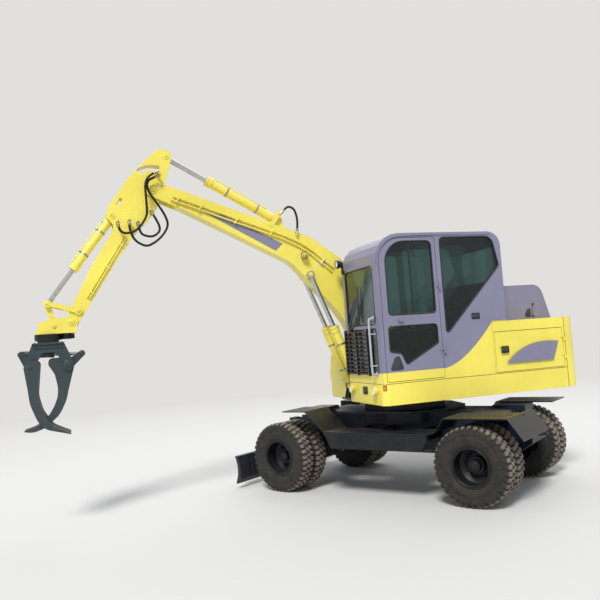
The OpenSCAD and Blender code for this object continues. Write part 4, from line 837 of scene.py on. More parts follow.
# Half of the tyre's wall, from the bead to the middle of the tread: radius, distance from the middle
TYRE_WALL = [(0.2075, 0.074), (0.2085, 0.084), (0.222, 0.092), (0.232, 0.0985), (0.240, 0.1005),
             (0.243, 0.1035), (0.250, 0.1040), (0.254, 0.1055), (0.285, 0.1110), (0.312, 0.1125),
             (0.316, 0.1105), (0.346, 0.1100), (0.350, 0.1120), (0.372, 0.1095), (0.390, 0.1030),
             (0.401, 0.0920), (0.411, 0.0740), (0.4125, 0.0)]
# Stations of a shoulder lug and of a middle block, across the tyre: low (y, radius), high (y, radius),
# turn of the middle and half its length, both in pitches
SHOULDER_LUG = (((0.034, 0.405), (0.034, 0.4295), 0.12, 0.25),
                ((0.070, 0.405), (0.070, 0.4290), 0.02, 0.29),
                ((0.092, 0.395), (0.0935, 0.4215), 0.0, 0.30),
                ((0.098, 0.380), (0.1100, 0.4000), 0.0, 0.29),
                ((0.100, 0.362), (0.1125, 0.3740), 0.0, 0.25))
MIDDLE_BLOCK = (((-0.027, 0.405), (-0.027, 0.4300), -0.10, 0.27),
                ((0.0, 0.405), (0.0, 0.4300), 0.06, 0.30),
                ((0.027, 0.405), (0.027, 0.4300), 0.22, 0.27))
# Most dust and painted highlight on the lug tops, and the depth of groove over which it fades, so that the
# grooves stay dark as painted shade
TOP_DUST_AND_HIGHLIGHT, LUG_TOP_FADE = 0.75, 0.018
# The second tyre of a pair stands turned by this angle
TWIN_TURN = 0.3


def tread_ring(piece, stations, hand, lead):
    """Adds one lug, bevelled, and spins copies of it all round the tyre."""
    lugs = sizes("wheel_sizes").lugs
    pitch = 2 * math.pi / lugs
    part = bmesh.new()
    rings = []
    for (low_y, low), (high_y, high), turn, half in stations:
        corners = ((low_y, low, turn - half * 1.12), (high_y, high, turn - half), (high_y, high, turn + half),
                   (low_y, low, turn + half * 1.12))
        ring = []
        for y, r, pitches in corners:
            angle = (pitches + lead) * pitch
            ring.append(part.verts.new((r * math.sin(angle), hand * y, r * math.cos(angle))))
        rings.append(ring)
    for near, far in zip(rings, rings[1:]):
        for k in range(4):
            part.faces.new((near[k], near[(k + 1) % 4], far[(k + 1) % 4], far[k]))
    part.faces.new(rings[0])
    part.faces.new(reversed(rings[-1]))
    bmesh.ops.recalc_face_normals(part, faces=part.faces)
    top = [edge for edge in part.edges if folds(edge, 40)]
    bmesh.ops.bevel(part, geom=top, offset=0.003, offset_type="OFFSET", segments=1, profile=0.5,
                    affect="EDGES", material=-1, clamp_overlap=True)
    whole = part.faces[:] + part.edges[:] + part.verts[:]
    bmesh.ops.spin(part, geom=whole, cent=(0, 0, 0), axis=LEFT, dvec=(0, 0, 0),
                   angle=pitch * (lugs - 1), steps=lugs - 1, use_duplicate=True, use_merge=False)
    piece.add(part)


def tyre_mesh():
    """One tyre about the Y axis, with lugs on both shoulders and a row of blocks between them."""
    piece = Piece()
    other_wall = [(r, -y) for r, y in reversed(TYRE_WALL[:-1])]
    piece.lathe(TYRE_WALL + other_wall, (0, 0, 0), LEFT, steps=96)
    tread_ring(piece, SHOULDER_LUG, 1, 0.0)
    tread_ring(piece, SHOULDER_LUG, -1, 0.5)
    tread_ring(piece, MIDDLE_BLOCK, 1, 0.25)
    mesh = bpy.data.meshes.new("one_tyre")
    piece.bm.to_mesh(mesh)
    piece.bm.free()
    return mesh


def chassis_place():
    """Where the chassis' own frame lies, turned under the upper body."""
    return Matrix.Rotation(-sizes("wheel_sizes").chassis_turn, 4, "Z")


def corner_place(end, hand):
    """Where a wheel pair's own frame lies: its axle along Y, the outside at +Y."""
    w = sizes("wheel_sizes")
    place = chassis_place() @ Matrix.Translation((AXLE_X[end], 0, w.radius))
    if hand == "right":
        place = place @ Matrix.Rotation(math.pi, 4, "Z")
    if end == "front":
        place = (place @ Matrix.Translation((0, KINGPIN_Y, 0)) @ Matrix.Rotation(-w.steer, 4, "Z")
                 @ Matrix.Translation((0, -KINGPIN_Y, 0)))
    return place


def tyre_middles():
    """Distances of the twin tyres' middles from the chassis line."""
    w = sizes("wheel_sizes")
    inner = w.track / 2 - 1.5 * w.width - w.gap
    return inner, inner + w.width + w.gap


class EXCAVATOR_OT_tyres(bpy.types.Operator):
    """Makes the four pairs of twin tyres with lugs"""
    bl_idname = "excavator.tyres"
    bl_label = "Tyres"

    def execute(self, context):
        one = tyre_mesh()
        ground = sizes("wheel_sizes").radius - sizes("wheel_sizes").groove * 1.2
        for (end, hand), body in CORNERS.items():
            piece = Piece()
            place = corner_place(end, hand)
            for k, middle in enumerate(tyre_middles()):
                part = bmesh.new()
                part.from_mesh(one)
                turn = Matrix.Rotation(TWIN_TURN * k, 4, "Y")
                part.transform(place @ Matrix.Translation((0, middle, 0)) @ turn)
                held = bpy.data.meshes.new("held")
                part.to_mesh(held)
                part.free()
                piece.bm.from_mesh(held)
                bpy.data.meshes.remove(held)
            made = piece.done(f"tyre_pair_{end}_{hand}", body, "tyre", "tyre_rubber",
                              (f"tyres_{end}_{hand}",))
            back = place.inverted()
            # Lighter on the lug tops for dust and painted highlight, dark down in the grooves for painted
            # shade
            tread = made.data.attributes.new("tread", "FLOAT", "POINT")
            for vert, out in zip(made.data.vertices, tread.data):
                at = back @ vert.co
                away = math.hypot(at.x, at.z)
                out.value = TOP_DUST_AND_HIGHLIGHT * max(0.0, min(1.0, (away - ground) / LUG_TOP_FADE))
        bpy.data.meshes.remove(one)
        return {"FINISHED"}


class EXCAVATOR_OT_rims(bpy.types.Operator):
    """Adds lock rings, wheel nuts, hub caps and valves to the rims"""
    bl_idname = "excavator.rims"
    bl_label = "Rim fittings"

    def execute(self, context):
        wheel = sizes("wheel_sizes")
        rim = wheel.rim_radius
        inner, outer = tyre_middles()
        face = outer + 0.096
        middle = (inner + outer) / 2
        disc, cover, hub = middle + 0.014, middle + 0.061, middle + 0.130
        # Side ring and lock ring on the outer rim, side ring on the inner one
        rings = (
            [(rim - 0.004, face - 0.012), (rim + 0.0165, face - 0.010), (rim + 0.020, face - 0.004),
             (rim + 0.018, face + 0.004), (rim + 0.006, face + 0.006), (rim + 0.003, face + 0.001),
             (rim - 0.002, face + 0.001), (rim - 0.004, face - 0.002)],
            [(rim - 0.014, face - 0.014), (rim - 0.005, face - 0.010), (rim - 0.005, face + 0.003),
             (rim - 0.010, face + 0.006), (rim - 0.015, face + 0.002)],
            [(rim - 0.004, inner - 0.086), (rim + 0.018, inner - 0.090), (rim + 0.018, inner - 0.100),
             (rim + 0.006, inner - 0.101), (rim - 0.004, inner - 0.098)],
        )
        cap = [(0.0, hub + 0.016), (0.030, hub + 0.014), (0.046, hub + 0.006), (0.050, hub - 0.004),
               (0.0605, hub - 0.004), (0.0605, hub - 0.018), (0.0, hub - 0.018)]
        valve = [(0, disc + 0.022, rim - 0.052), (0, disc + 0.050, rim - 0.046),
                 (0.010, disc + 0.090, rim - 0.034)]
        for (end, hand), body in CORNERS.items():
            piece = Piece(corner_place(end, hand))
            for ring in rings:
                piece.lathe(ring, (0, 0, 0), LEFT, 72)
            # Nuts on their studs
            for z, x in around(wheel.nuts, 0.1415, 0.2):
                at = Vector((x, disc + 0.005, z))
                piece.bolt(at - LEFT * 0.009, LEFT, 0.0165)
                piece.bar(at, at + LEFT * 0.026, 0.008, 10, bevel=0.001, segments=1)
            # Hub cap and its bolts, and those of the cover behind it
            piece.lathe(cap, (0, 0, 0), LEFT, 40)
            for z, x in around(8, 0.0545):
                piece.bolt((x, hub - 0.0045, z), LEFT, 0.0055, False)
            for z, x in around(12, 0.078, math.pi / 12):
                piece.bolt((x, cover - 0.001, z), LEFT, 0.008, False)
            # Valve stem through the disc
            piece.pipe(valve, 0.004, sides=1)
            piece.done(f"rim_fittings_{end}_{hand}", body, "rim_black", "rim_paint")
        return {"FINISHED"}


# Cab
RECESS = ((0.486, 1.482, 0.020), (0.654, 1.477, 0.018), (0.590, 1.612, 0.040), (0.536, 1.636, 0.020))
WALL_Y = 0.976
FRONT_X = CAB_HI.x - 0.002
GUTTER = ((-0.790, 3.002), (0.380, 3.002), (0.520, 2.985), (0.640, 2.915), (0.716, 2.800), (0.735, 2.690))
# Mid line of the cab and height of its floor
CAB_MID_Y = 0.488
CAB_FLOOR = 1.371
# Place of what is measured from them
FROM_FLOOR = Matrix.Translation((0, CAB_MID_Y, CAB_FLOOR))


def window_trim(piece, outline, put, at, outward):
    """A rubber seal in the wall's edge, and the black border printed on the pane as second finish."""
    trim = sizes("trim_sizes")
    path = rounded(outline)
    face = at - outward * 0.009
    depth = put([(0, 0)], outward * 0.0012)[0]
    piece.border(put(path, face), trim.border, depth, finish=1)
    piece.pipe(put(path, at - outward * 0.003), trim.seal, closed=True, smooth=False, sides=2)


class EXCAVATOR_OT_cab_trim(bpy.types.Operator):
    """Window rubbers, door seal, wiper and roof fittings of the cab"""
    bl_idname = "excavator.cab_trim"
    bl_label = "Cab trim"

    def execute(self, context):
        piece = Piece()
        window_trim(piece, REAR_SIDE_WINDOW, side, WALL_Y, 1)
        for outline in (REAR_SIDE_WINDOW, RIGHT_LOW_WINDOW, RIGHT_TOP_WINDOW):
            window_trim(piece, outline, side, CAB_LO.y, -1)
        for outline in (WINDSCREEN, LOW_WINDSCREEN):
            window_trim(piece, outline, front, FRONT_X, 1)
        window_trim(piece, BACK_WINDOW, front, CAB_LO.x, -1)
        # Rubber behind the door's edge
        piece.pipe(side(rounded(DOOR_OUTLINE, 8), WALL_Y - 0.050), 0.011, closed=True, smooth=False, sides=2)
        piece.done("cab_seals", "upper", ("seal", "glass_border"), "black_plastic")

        piece = Piece()
        window_trim(piece, DOOR_TOP_WINDOW, side, WALL_Y, 1)
        window_trim(piece, DOOR_LOW_WINDOW, side, WALL_Y, 1)
        # Bar between the sliding halves of the upper window
        piece.box((0.300, WALL_Y - 0.012, 2.100), (0.318, WALL_Y - 0.004, 2.935), 0.002)
        # Recess at the door's lower front corner, with its rubber lip
        recess = rounded(RECESS)
        piece.plate(side(recess, WALL_Y - 0.004), (0, 0.006, 0), 0.0015, finish=2)
        piece.pipe(side(recess, WALL_Y + 0.002), 0.004, closed=True, smooth=False, sides=1)
        # Lock beside the handle
        piece.bar((0.585, WALL_Y - 0.002, 1.985), (0.585, WALL_Y + 0.006, 1.985), 0.014, 24, 0.0015,
                  finish=3)
        piece.box((0.582, WALL_Y + 0.0055, 1.977), (0.588, WALL_Y + 0.0068, 1.993), 0.0005, finish=2)
        piece.done("door_trim", "cab_door", ("seal", "glass_border", "plastic", "zinc"), "black_plastic")

        # Wiper on the windscreen: motor cover, arm, blade
        piece = Piece()
        x, motor_y, motor_z, blade_y, holders = FRONT_X, 0.200, 1.988, 0.455, (2.180, 2.345)
        piece.lathe([(0, 0.052), (0.020, 0.050), (0.032, 0.040), (0.036, 0.0), (0, 0.0)],
                    (x, motor_y, motor_z), AHEAD, 28)
        piece.bar((x + 0.040, motor_y, motor_z), (x + 0.034, blade_y, sum(holders) / 2), 0.006, 10)
        piece.bar((x + 0.046, motor_y, motor_z), (x + 0.050, motor_y + 0.050, motor_z + 0.053), 0.010,
                  12, 0.001)
        piece.box((x + 0.006, blade_y - 0.006, 2.050), (x + 0.024, blade_y + 0.006, 2.475), 0.003)
        piece.bar((x + 0.026, blade_y, holders[0]), (x + 0.026, blade_y, holders[1]), 0.005, 8)
        for z in holders:
            piece.bar((x + 0.014, blade_y, z), (x + 0.030, blade_y, z), 0.006, 8)
        piece.done("wiper", "upper", "plastic", "black_plastic")

        # Roof: raised panel, and rain gutter over the door
        piece = Piece()
        roof = rounded_field((-0.700, 0.100), (0.330, 0.876), 0.080)
        piece.plate([Vector((x, y, CAB_HI.z - 0.001)) for x, y in roof], (0, 0, 0.010), 0.004)
        piece.pipe(side(GUTTER, WALL_Y + 0.004), 0.007, sides=2)
        piece.done("roof_fittings", "upper", "lavender", "lavender_paint")
        return {"FINISHED"}


# Pads: voxels of their mesh, frames and push of the cloth, and how far it may swell
PAD_VOXEL, PAD_FRAMES, PAD_PRESSURE, PAD_SWELL = 0.008, 20, 4.0, 0.016
# Depth and reach of a seam, and width of the bolsters beside it
SEAM_DEPTH, SEAM_REACH, BOLSTER = 0.009, 0.020, 0.07
# Each pad's half width, its side view as along and height over the floor, and axis and places of its seams
PADS = {
    "cushion": (0.235, ((-0.470, 0.282), (-0.015, 0.292), (0.000, 0.345), (-0.030, 0.392), (-0.300, 0.375),
                        (-0.470, 0.392)), 0, (-0.360, -0.250, -0.140)),
    "backrest": (0.220, ((-0.400, 0.400), (-0.385, 0.470), (-0.480, 0.860), (-0.520, 0.880), (-0.600, 0.860),
                         (-0.500, 0.400)), 2, (0.560, 0.660, 0.760)),
    "headrest": (0.130, ((-0.510, 0.905), (-0.530, 1.045), (-0.560, 1.058), (-0.600, 1.045),
                         (-0.575, 0.905)), 2, (0.975,)),
}
# How far a bolster stands out of its pad, along and up
BOLSTERS = {"cushion": (0.0, 0.022), "backrest": (0.020, 0.004)}


def apply_modifiers(piece):
    """Gives the piece the mesh that its modifiers make."""
    graph = bpy.context.evaluated_depsgraph_get()
    made = bpy.data.meshes.new_from_object(piece.evaluated_get(graph))
    plain = piece.data
    piece.modifiers.clear()
    piece.data = made
    bpy.data.meshes.remove(plain)


def blow_up(pieces):
    """Remeshes pads and lets them swell as cloth, no point further than the cap."""
    for piece in pieces:
        fine = piece.modifiers.new("fine", "REMESH")
        fine.mode = "VOXEL"
        fine.voxel_size = PAD_VOXEL
        fine.use_smooth_shade = True
        apply_modifiers(piece)
    flat = {piece: [vert.co.copy() for vert in piece.data.vertices] for piece in pieces}
    for piece in pieces:
        cloth = piece.modifiers.new("swell", "CLOTH").settings
        cloth.use_pressure = True
        cloth.uniform_pressure_force = PAD_PRESSURE
        cloth.effector_weights.gravity = 0.0
    for step in range(PAD_FRAMES):
        bpy.context.scene.frame_set(step + 1)
    for piece in pieces:
        apply_modifiers(piece)
        for vert, before in zip(piece.data.vertices, flat[piece]):
            move = vert.co - before
            if move.length > PAD_SWELL:
                vert.co = before + move.normalized() * PAD_SWELL
    bpy.context.scene.frame_set(1)


def sew(piece, axis, seams, half_width):
    """Draws a pad in along seams at these places on an axis, between its bolsters."""
    for vert in piece.data.vertices:
        near = min(abs(vert.co[axis] - seam) for seam in seams)
        if near < SEAM_REACH and abs(vert.co.y - CAB_MID_Y) < half_width:
            vert.co -= vert.normal * SEAM_DEPTH * (1 + math.cos(math.pi * near / SEAM_REACH)) / 2
    round_off = piece.modifiers.new("round", "SUBSURF")
    round_off.levels = round_off.render_levels = 1
    apply_modifiers(piece)


class EXCAVATOR_OT_cab_inside(bpy.types.Operator):
    """Seat with its padding, switches, lever boots and floor mat"""
    bl_idname = "excavator.cab_inside"
    bl_label = "Cab interior"

    def execute(self, context):
        self.seat_frame()
        self.pads()
        self.fittings()
        return {"FINISHED"}

    def seat_frame(self):
        """Suspension, slide rails and arm rests of the seat."""
        piece = Piece(FROM_FLOOR)
        piece.box((-0.460, -0.195, 0), (-0.070, 0.195, 0.030), 0.006)
        for k in range(5):
            low = 0.032 + k * 0.034
            inset = 0.020 + 0.012 * (k % 2)
            piece.box((-0.455 + inset, -0.190 + inset, low),
                      (-0.075 - inset, 0.190 - inset, low + 0.032), 0.010)
        piece.box((-0.450, -0.180, 0.205), (-0.080, 0.180, 0.235), 0.006)
        for s in (-1, 1):
            rail = s * 0.150
            piece.box((-0.450, rail - 0.018, 0.236), (-0.050, rail + 0.018, 0.275), 0.004)
            # Arm rest and its hinge
            near, far = sorted((s * 0.205, s * 0.243))
            piece.bar((-0.440, near + 0.010, 0.600), (-0.440, far - 0.008, 0.600), 0.022, 16, 0.002)
            piece.box((-0.440, near, 0.590), (-0.150, far, 0.628), 0.012)
        piece.done("seat_frame", "upper", "plastic", "seat_fabric", ("cab_seat",))

    def pads(self):
        """Cushion, backrest and headrest."""
        made = {}
        for name, (wide, outline, _, _) in PADS.items():
            piece = Piece()
            outline = [(x, CAB_FLOOR + up) for x, up in outline]
            piece.plate(side(outline, CAB_MID_Y - wide), (0, 2 * wide, 0), 0.026, segments=3)
            if name in BOLSTERS:
                out, up = BOLSTERS[name]
                for start in (CAB_MID_Y - wide, CAB_MID_Y + wide - BOLSTER):
                    bolster = side([(x + out, z + up) for x, z in outline], start)
                    piece.plate(bolster, (0, BOLSTER, 0), 0.022, segments=3)
            made[name] = piece.done("seat_" + name, "upper", "seat_cloth", "seat_fabric")
        blow_up(made.values())
        for name, (wide, _, axis, seams) in PADS.items():
            over = CAB_FLOOR if axis == 2 else 0.0
            sew(made[name], axis, [over + seam for seam in seams], wide - BOLSTER - 0.005)

    def fittings(self):
        """Floor mat, switch panels, lever boots and instrument pod."""
        piece = Piece(FROM_FLOOR)
        # Floor mat with ribs
        piece.box((-0.060, -0.330, 0.001), (0.640, 0.330, 0.008), 0.003)
        for k in range(14):
            x = -0.030 + k * 0.048
            piece.box((x, -0.310, 0.0075), (x + 0.018, 0.310, 0.0115), 0.001)
        # Switch panels on the consoles
        for s in (-1, 1):
            y = s * 0.320
            piece.box((-0.330, y - 0.056, 0.520), (-0.060, y + 0.056, 0.527), 0.003)
            for k in range(5):
                x = -0.310 + k * 0.048
                piece.box((x, y - 0.030, 0.526), (x + 0.032, y - 0.008, 0.535), 0.002)
                piece.box((x, y + 0.008, 0.526), (x + 0.032, y + 0.030, 0.535), 0.002)
            # Rubber boots at the levers' feet
            piece.lathe([(0, 0.060), (0.018, 0.060), (0.026, 0.048), (0.022, 0.040), (0.036, 0.030),
                         (0.030, 0.022), (0.048, 0.010), (0.050, 0.0), (0, 0)],
                        (0.003, y, 0.520), (0.21, 0, 0.98), 24)
        # Instrument pod on the right pillar
        piece.box((0.560, -0.408, 0.529), (0.600, -0.238, 0.689), 0.010)
        piece.bar((0.590, -0.378, 0.329), (0.590, -0.378, 0.534), 0.012, 12)
        piece.bar((0.590, -0.378, 0.004), (0.590, -0.378, 0.334), 0.016, 12)
        piece.done("cab_fittings", "upper", "plastic", "black_plastic")


# Body
DECK_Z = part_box("body_skirt")[0].z
SILL_Z = CAB_LO.z
FRONT_WALL = 0.750
SEAM_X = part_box("left_panel")[0].x
PANEL_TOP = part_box("right_cover")[1].z
SERVICE_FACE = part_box("left_panel")[1].y - 0.001
HOOD_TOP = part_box("engine_hood")[1].z
HOOD_LEFT, HOOD_RIGHT = 0.640, -0.936
TAIL_SLOPE = math.radians(3.5)
BOW_STEPS = 14


def bowed(start, middle, end):
    """Points of one smooth bow from start to end that passes through middle."""
    start, middle, end = Vector(start), Vector(middle), Vector(end)
    pull = 2 * middle - (start + end) / 2
    shares = [k / BOW_STEPS for k in range(BOW_STEPS + 1)]
    return [start * (1 - t) ** 2 + pull * 2 * t * (1 - t) + end * t * t for t in shares]


def rounded_field(low, high, radius):
    """A rounded rectangle from its lowest to its highest corner."""
    return rounded(((low[0], low[1], radius), (high[0], low[1], radius), (high[0], high[1], radius),
                    (low[0], high[1], radius)))


def louvres(piece, low, high, count, face, outward):
    """A framed field of slanted slats on a side wall, over a black sheet that paints the shade of the
    openings between them: low and high are (along, up).
    """
    inner = face - outward * 0.001
    piece.border(side(rounded_field(low, high, 0.02), inner), 0.016, LEFT * outward * 0.009, 0.002)
    # Black sheet behind the slats: painted shade of the openings between them
    piece.plate(side(rounded_field(low, high, 0.02), inner), LEFT * outward * 0.002, finish=1)
    pitch = (high[1] - low[1] - 0.036) / count
    across = (high[0] - low[0] - 0.028, 0, 0)
    for k in range(count):
        foot = Vector((low[0] + 0.014, face, low[1] + 0.018 + pitch * k))
        slat = ((0.0, 0.98), (0.010, 0.30), (0.010, 0.14), (0.0, 0.62))
        piece.plate([foot + Vector((0, outward * out, pitch * up)) for out, up in slat], across)


def paddle_latch(piece, low, high, face, outward):
    """A black pan in a panel with its paddle and lock: low and high are (along, up)."""
    inner = face - outward * 0.001
    wide, tall = high[0] - low[0], high[1] - low[1]
    piece.border(side(rounded_field(low, high, 0.008), inner), 0.009, LEFT * outward * 0.006, 0.0015)
    piece.plate(side(rounded_field(low, high, 0.008), inner), LEFT * outward * 0.002)
    piece.box((low[0] + wide * 0.14, face, low[1] + tall * 0.30),
              (low[0] + wide * 0.72, face + outward * 0.007, high[1] - tall * 0.14), 0.003, finish=1)
    lock = Vector((low[0] + wide * 0.84, face, low[1] + tall * 0.5))
    piece.bar(lock, lock + LEFT * outward * 0.006, 0.0065, 16, 0.001, finish=2)


def tread_bars(piece, low, high, z, pitch=0.050):
    """Raised bars of a tread plate, crosswise in turn: low and high are (along, across) on its top."""
    for i in range(int((high[0] - low[0]) / pitch)):
        for j in range(int((high[1] - low[1]) / pitch)):
            x, y = low[0] + pitch * (i + 0.5), low[1] + pitch * (j + 0.5)
            long, wide = (0.015, 0.0035) if (i + j) % 2 else (0.0035, 0.015)
            piece.box((x - long, y - wide, z - 0.001), (x + long, y + wide, z + 0.0025), 0)


class EXCAVATOR_OT_body(bpy.types.Operator):
    """Seams, latches, louvres and lamps of the upper body"""
    bl_idname = "excavator.body"
    bl_label = "Body trim"

    def execute(self, context):
        proud = sizes("trim_sizes").proud
        seams = Piece()
        for s, front_end in ((1, 0.698), (-1, 0.585)):
            inner, outer = s * (WALL_Y - 0.006), s * (WALL_Y + proud)
            seams.box((SEAM_X - 0.003, inner, DECK_Z), (SEAM_X + 0.003, outer, PANEL_TOP - 0.001), 0)
            seams.box((SEAM_X, inner, SILL_Z - 0.003), (front_end, outer, SILL_Z + 0.002), 0)
        seams.box((FRONT_WALL - 0.008, 0.006, SILL_Z - 0.003), (FRONT_WALL + proud, 0.900, SILL_Z + 0.002), 0)
        seams.box((SEAM_X - 0.003, HOOD_LEFT + 0.002, PANEL_TOP - 0.004),
                  (SEAM_X + 0.003, WALL_Y - 0.002, PANEL_TOP + proud), 0)
        # Small cover on the cab's side, and the doors of the right side
        paddle_latch(seams, (-0.559, 1.993), (-0.450, 2.066), WALL_Y, 1)
        for x in (-1.060, -0.330):
            seams.box((x - 0.0025, -WALL_Y + 0.003, SILL_Z + 0.030),
                      (x + 0.0025, -WALL_Y - proud, PANEL_TOP - 0.070), 0)
            paddle_latch(seams, (x + 0.045, 1.690), (x + 0.150, 1.765), -WALL_Y, -1)
        seams.done("body_seams", "upper", ("seal", "plastic", "zinc"), "black_plastic")
        vents = Piece()
        louvres(vents, (-1.640, 1.430), (-1.140, 1.850), 12, -WALL_Y, -1)
        vents.done("cover_louvres", "upper", ("yellow", "seal"), "yellow_paint")
        self.tail()
        self.cover_top()
        return {"FINISHED"}

    def tail(self):
        """Lamps and lifting sockets of the counterweight."""
        for s, side_name in ((1, "left"), (-1, "right")):
            place = Matrix.Translation((-1.961, s * 0.720, 1.250)) @ Matrix.Rotation(-s * TAIL_SLOPE, 4, "Z")
            lamp = Piece(place)
            lamp.box((-0.006, -0.062, -0.042), (0.020, 0.062, 0.042), 0.006)
            lamp.box((-0.013, -0.050, -0.032), (0.0, -0.004, 0.032), 0.004, finish=1)
            lamp.box((-0.013, 0.004, -0.032), (0.0, 0.050, 0.032), 0.004, finish=2)
            lamp.done("tail_lamp_" + side_name, "upper", ("plastic", "red_lens", "orange_lens"),
                      "black_plastic")
        sockets = Piece()
        for y in (-0.560, 0.0, 0.560):
            at = Vector((-1.870, y, PANEL_TOP))
            sockets.lathe([(0.014, 0.001), (0.026, 0.004), (0.032, 0.0), (0.032, -0.002), (0.014, -0.002)],
                          at, UP, 32)
            sockets.bar(at - UP * 0.002, at + UP * 0.0005, 0.015, 6)
        sockets.done("lifting_sockets", "upper", "cast", "steel")

    def cover_top(self):
        """Fuel cap and tread plates on the right cover."""
        cap = Vector((-0.150, -0.700, PANEL_TOP))
        piece = Piece()
        piece.lathe([(0.0, 0.028), (0.040, 0.028), (0.046, 0.022), (0.046, 0.006), (0.058, 0.004),
                     (0.058, -0.002), (0.0, -0.002)], cap, UP, 36)
        for x, y in around(8, 0.0455):
            at = cap + Vector((x, y, 0.006))
            piece.bar(at, at + UP * 0.018, 0.005, 8)
        for x in (-0.900, -0.560):
            piece.box((x, -0.900, PANEL_TOP - 0.001), (x + 0.260, -0.520, PANEL_TOP + 0.003), 0.001)
            tread_bars(piece, (x + 0.010, -0.890), (x + 0.250, -0.530), PANEL_TOP + 0.003, 0.040)
        piece.done("cover_top_fittings", "upper", "clean_black", "black_plastic")


class EXCAVATOR_OT_lids(bpy.types.Operator):
    """Vents, latches and stripe of the hood and the service door"""
    bl_idname = "excavator.lids"
    bl_label = "Hood and service door trim"

    def execute(self, context):
        vents = Piece()
        louvres(vents, (-1.580, 2.040), (-1.080, 2.300), 8, HOOD_RIGHT, -1)
        # Raised rib round the top
        rib = rounded_field((-1.560, -0.820), (-1.020, 0.540), 0.080)
        vents.border([Vector((x, y, HOOD_TOP - 0.002)) for x, y in rib], 0.030, (0, 0, 0.007), 0.003)
        vents.done("hood_pressings", "hood", ("lavender", "seal"), "lavender_paint")
        # Latch and the stay beside it, on the left
        latch = Piece()
        y = HOOD_LEFT
        catch = ((-1.535, 1.985), (-1.455, 1.985), (-1.455, 2.020), (-1.490, 2.085), (-1.535, 2.085))
        latch.plate(side(catch, y - 0.001), (0, 0.010, 0), 0.003)
        latch.box((-1.525, y + 0.006, 2.000), (-1.475, y + 0.024, 2.018), 0.004)
        latch.bar((-1.564, y + 0.014, 1.985), (-1.580, y + 0.014, 2.150), 0.008, 16, finish=1)
        for x, z in ((-1.565, 1.992), (-1.579, 2.140)):
            latch.box((x - 0.013, y - 0.001, z - 0.010), (x + 0.013, y + 0.022, z + 0.010), 0.003)
        latch.done("hood_latch", "hood", ("plastic", "zinc"), "black_plastic")

        stripe = Piece()
        sweep = bowed((-0.874, 1.441), (-1.202, 1.639), (-1.635, 1.661)) + [Vector((-1.546, 1.439))]
        stripe.plate(side(sweep, SERVICE_FACE - 0.0002), (0, sizes("trim_sizes").proud, 0))
        stripe.done("service_door_stripe", "service_door", "lavender", "lavender_paint")
        latch = Piece()
        paddle_latch(latch, (-0.915, 1.565), (-0.810, 1.648), SERVICE_FACE, 1)
        latch.done("service_door_latch", "service_door", ("seal", "plastic", "zinc"), "black_plastic")
        return {"FINISHED"}


# Nose, rail and lamps
RAIL_Y = 0.826
LAMP_RADIUS = 0.052
# How much of the nose's corner is cut off, along and across
CORNER_CUT = (0.050, 0.070)
# How far out of the front wall and how high: the rail's route
RAIL_ROUTE = ((0.0003, 1.440), (0.028, 1.440), (0.052, 1.447), (0.060, 1.470), (0.060, 2.050),
              (0.052, 2.073), (0.028, 2.080), (0.0003, 2.080))


def round_lamp(piece, at, axis, radius, depth=0.0, shell=0):
    """A round lamp with its front at a point: a body so deep behind it, a bezel and a lens."""
    if depth:
        piece.lathe([(0.0, -depth), (radius * 0.62, -depth), (radius * 0.86, -depth * 0.70),
                     (radius, -depth * 0.25), (radius, -0.002), (0.0, -0.002)], at, axis, 36, finish=shell)
    piece.lathe([(radius * 0.84, 0.003), (radius * 0.90, 0.006), (radius, 0.004), (radius, -0.004),
                 (radius * 0.84, -0.004)], at, axis, 36, finish=shell)
    piece.lathe([(0.0, 0.004), (radius * 0.45, 0.003), (radius * 0.84, -0.001), (radius * 0.84, -0.004),
                 (0.0, -0.004)], at, axis, 36, finish=1)


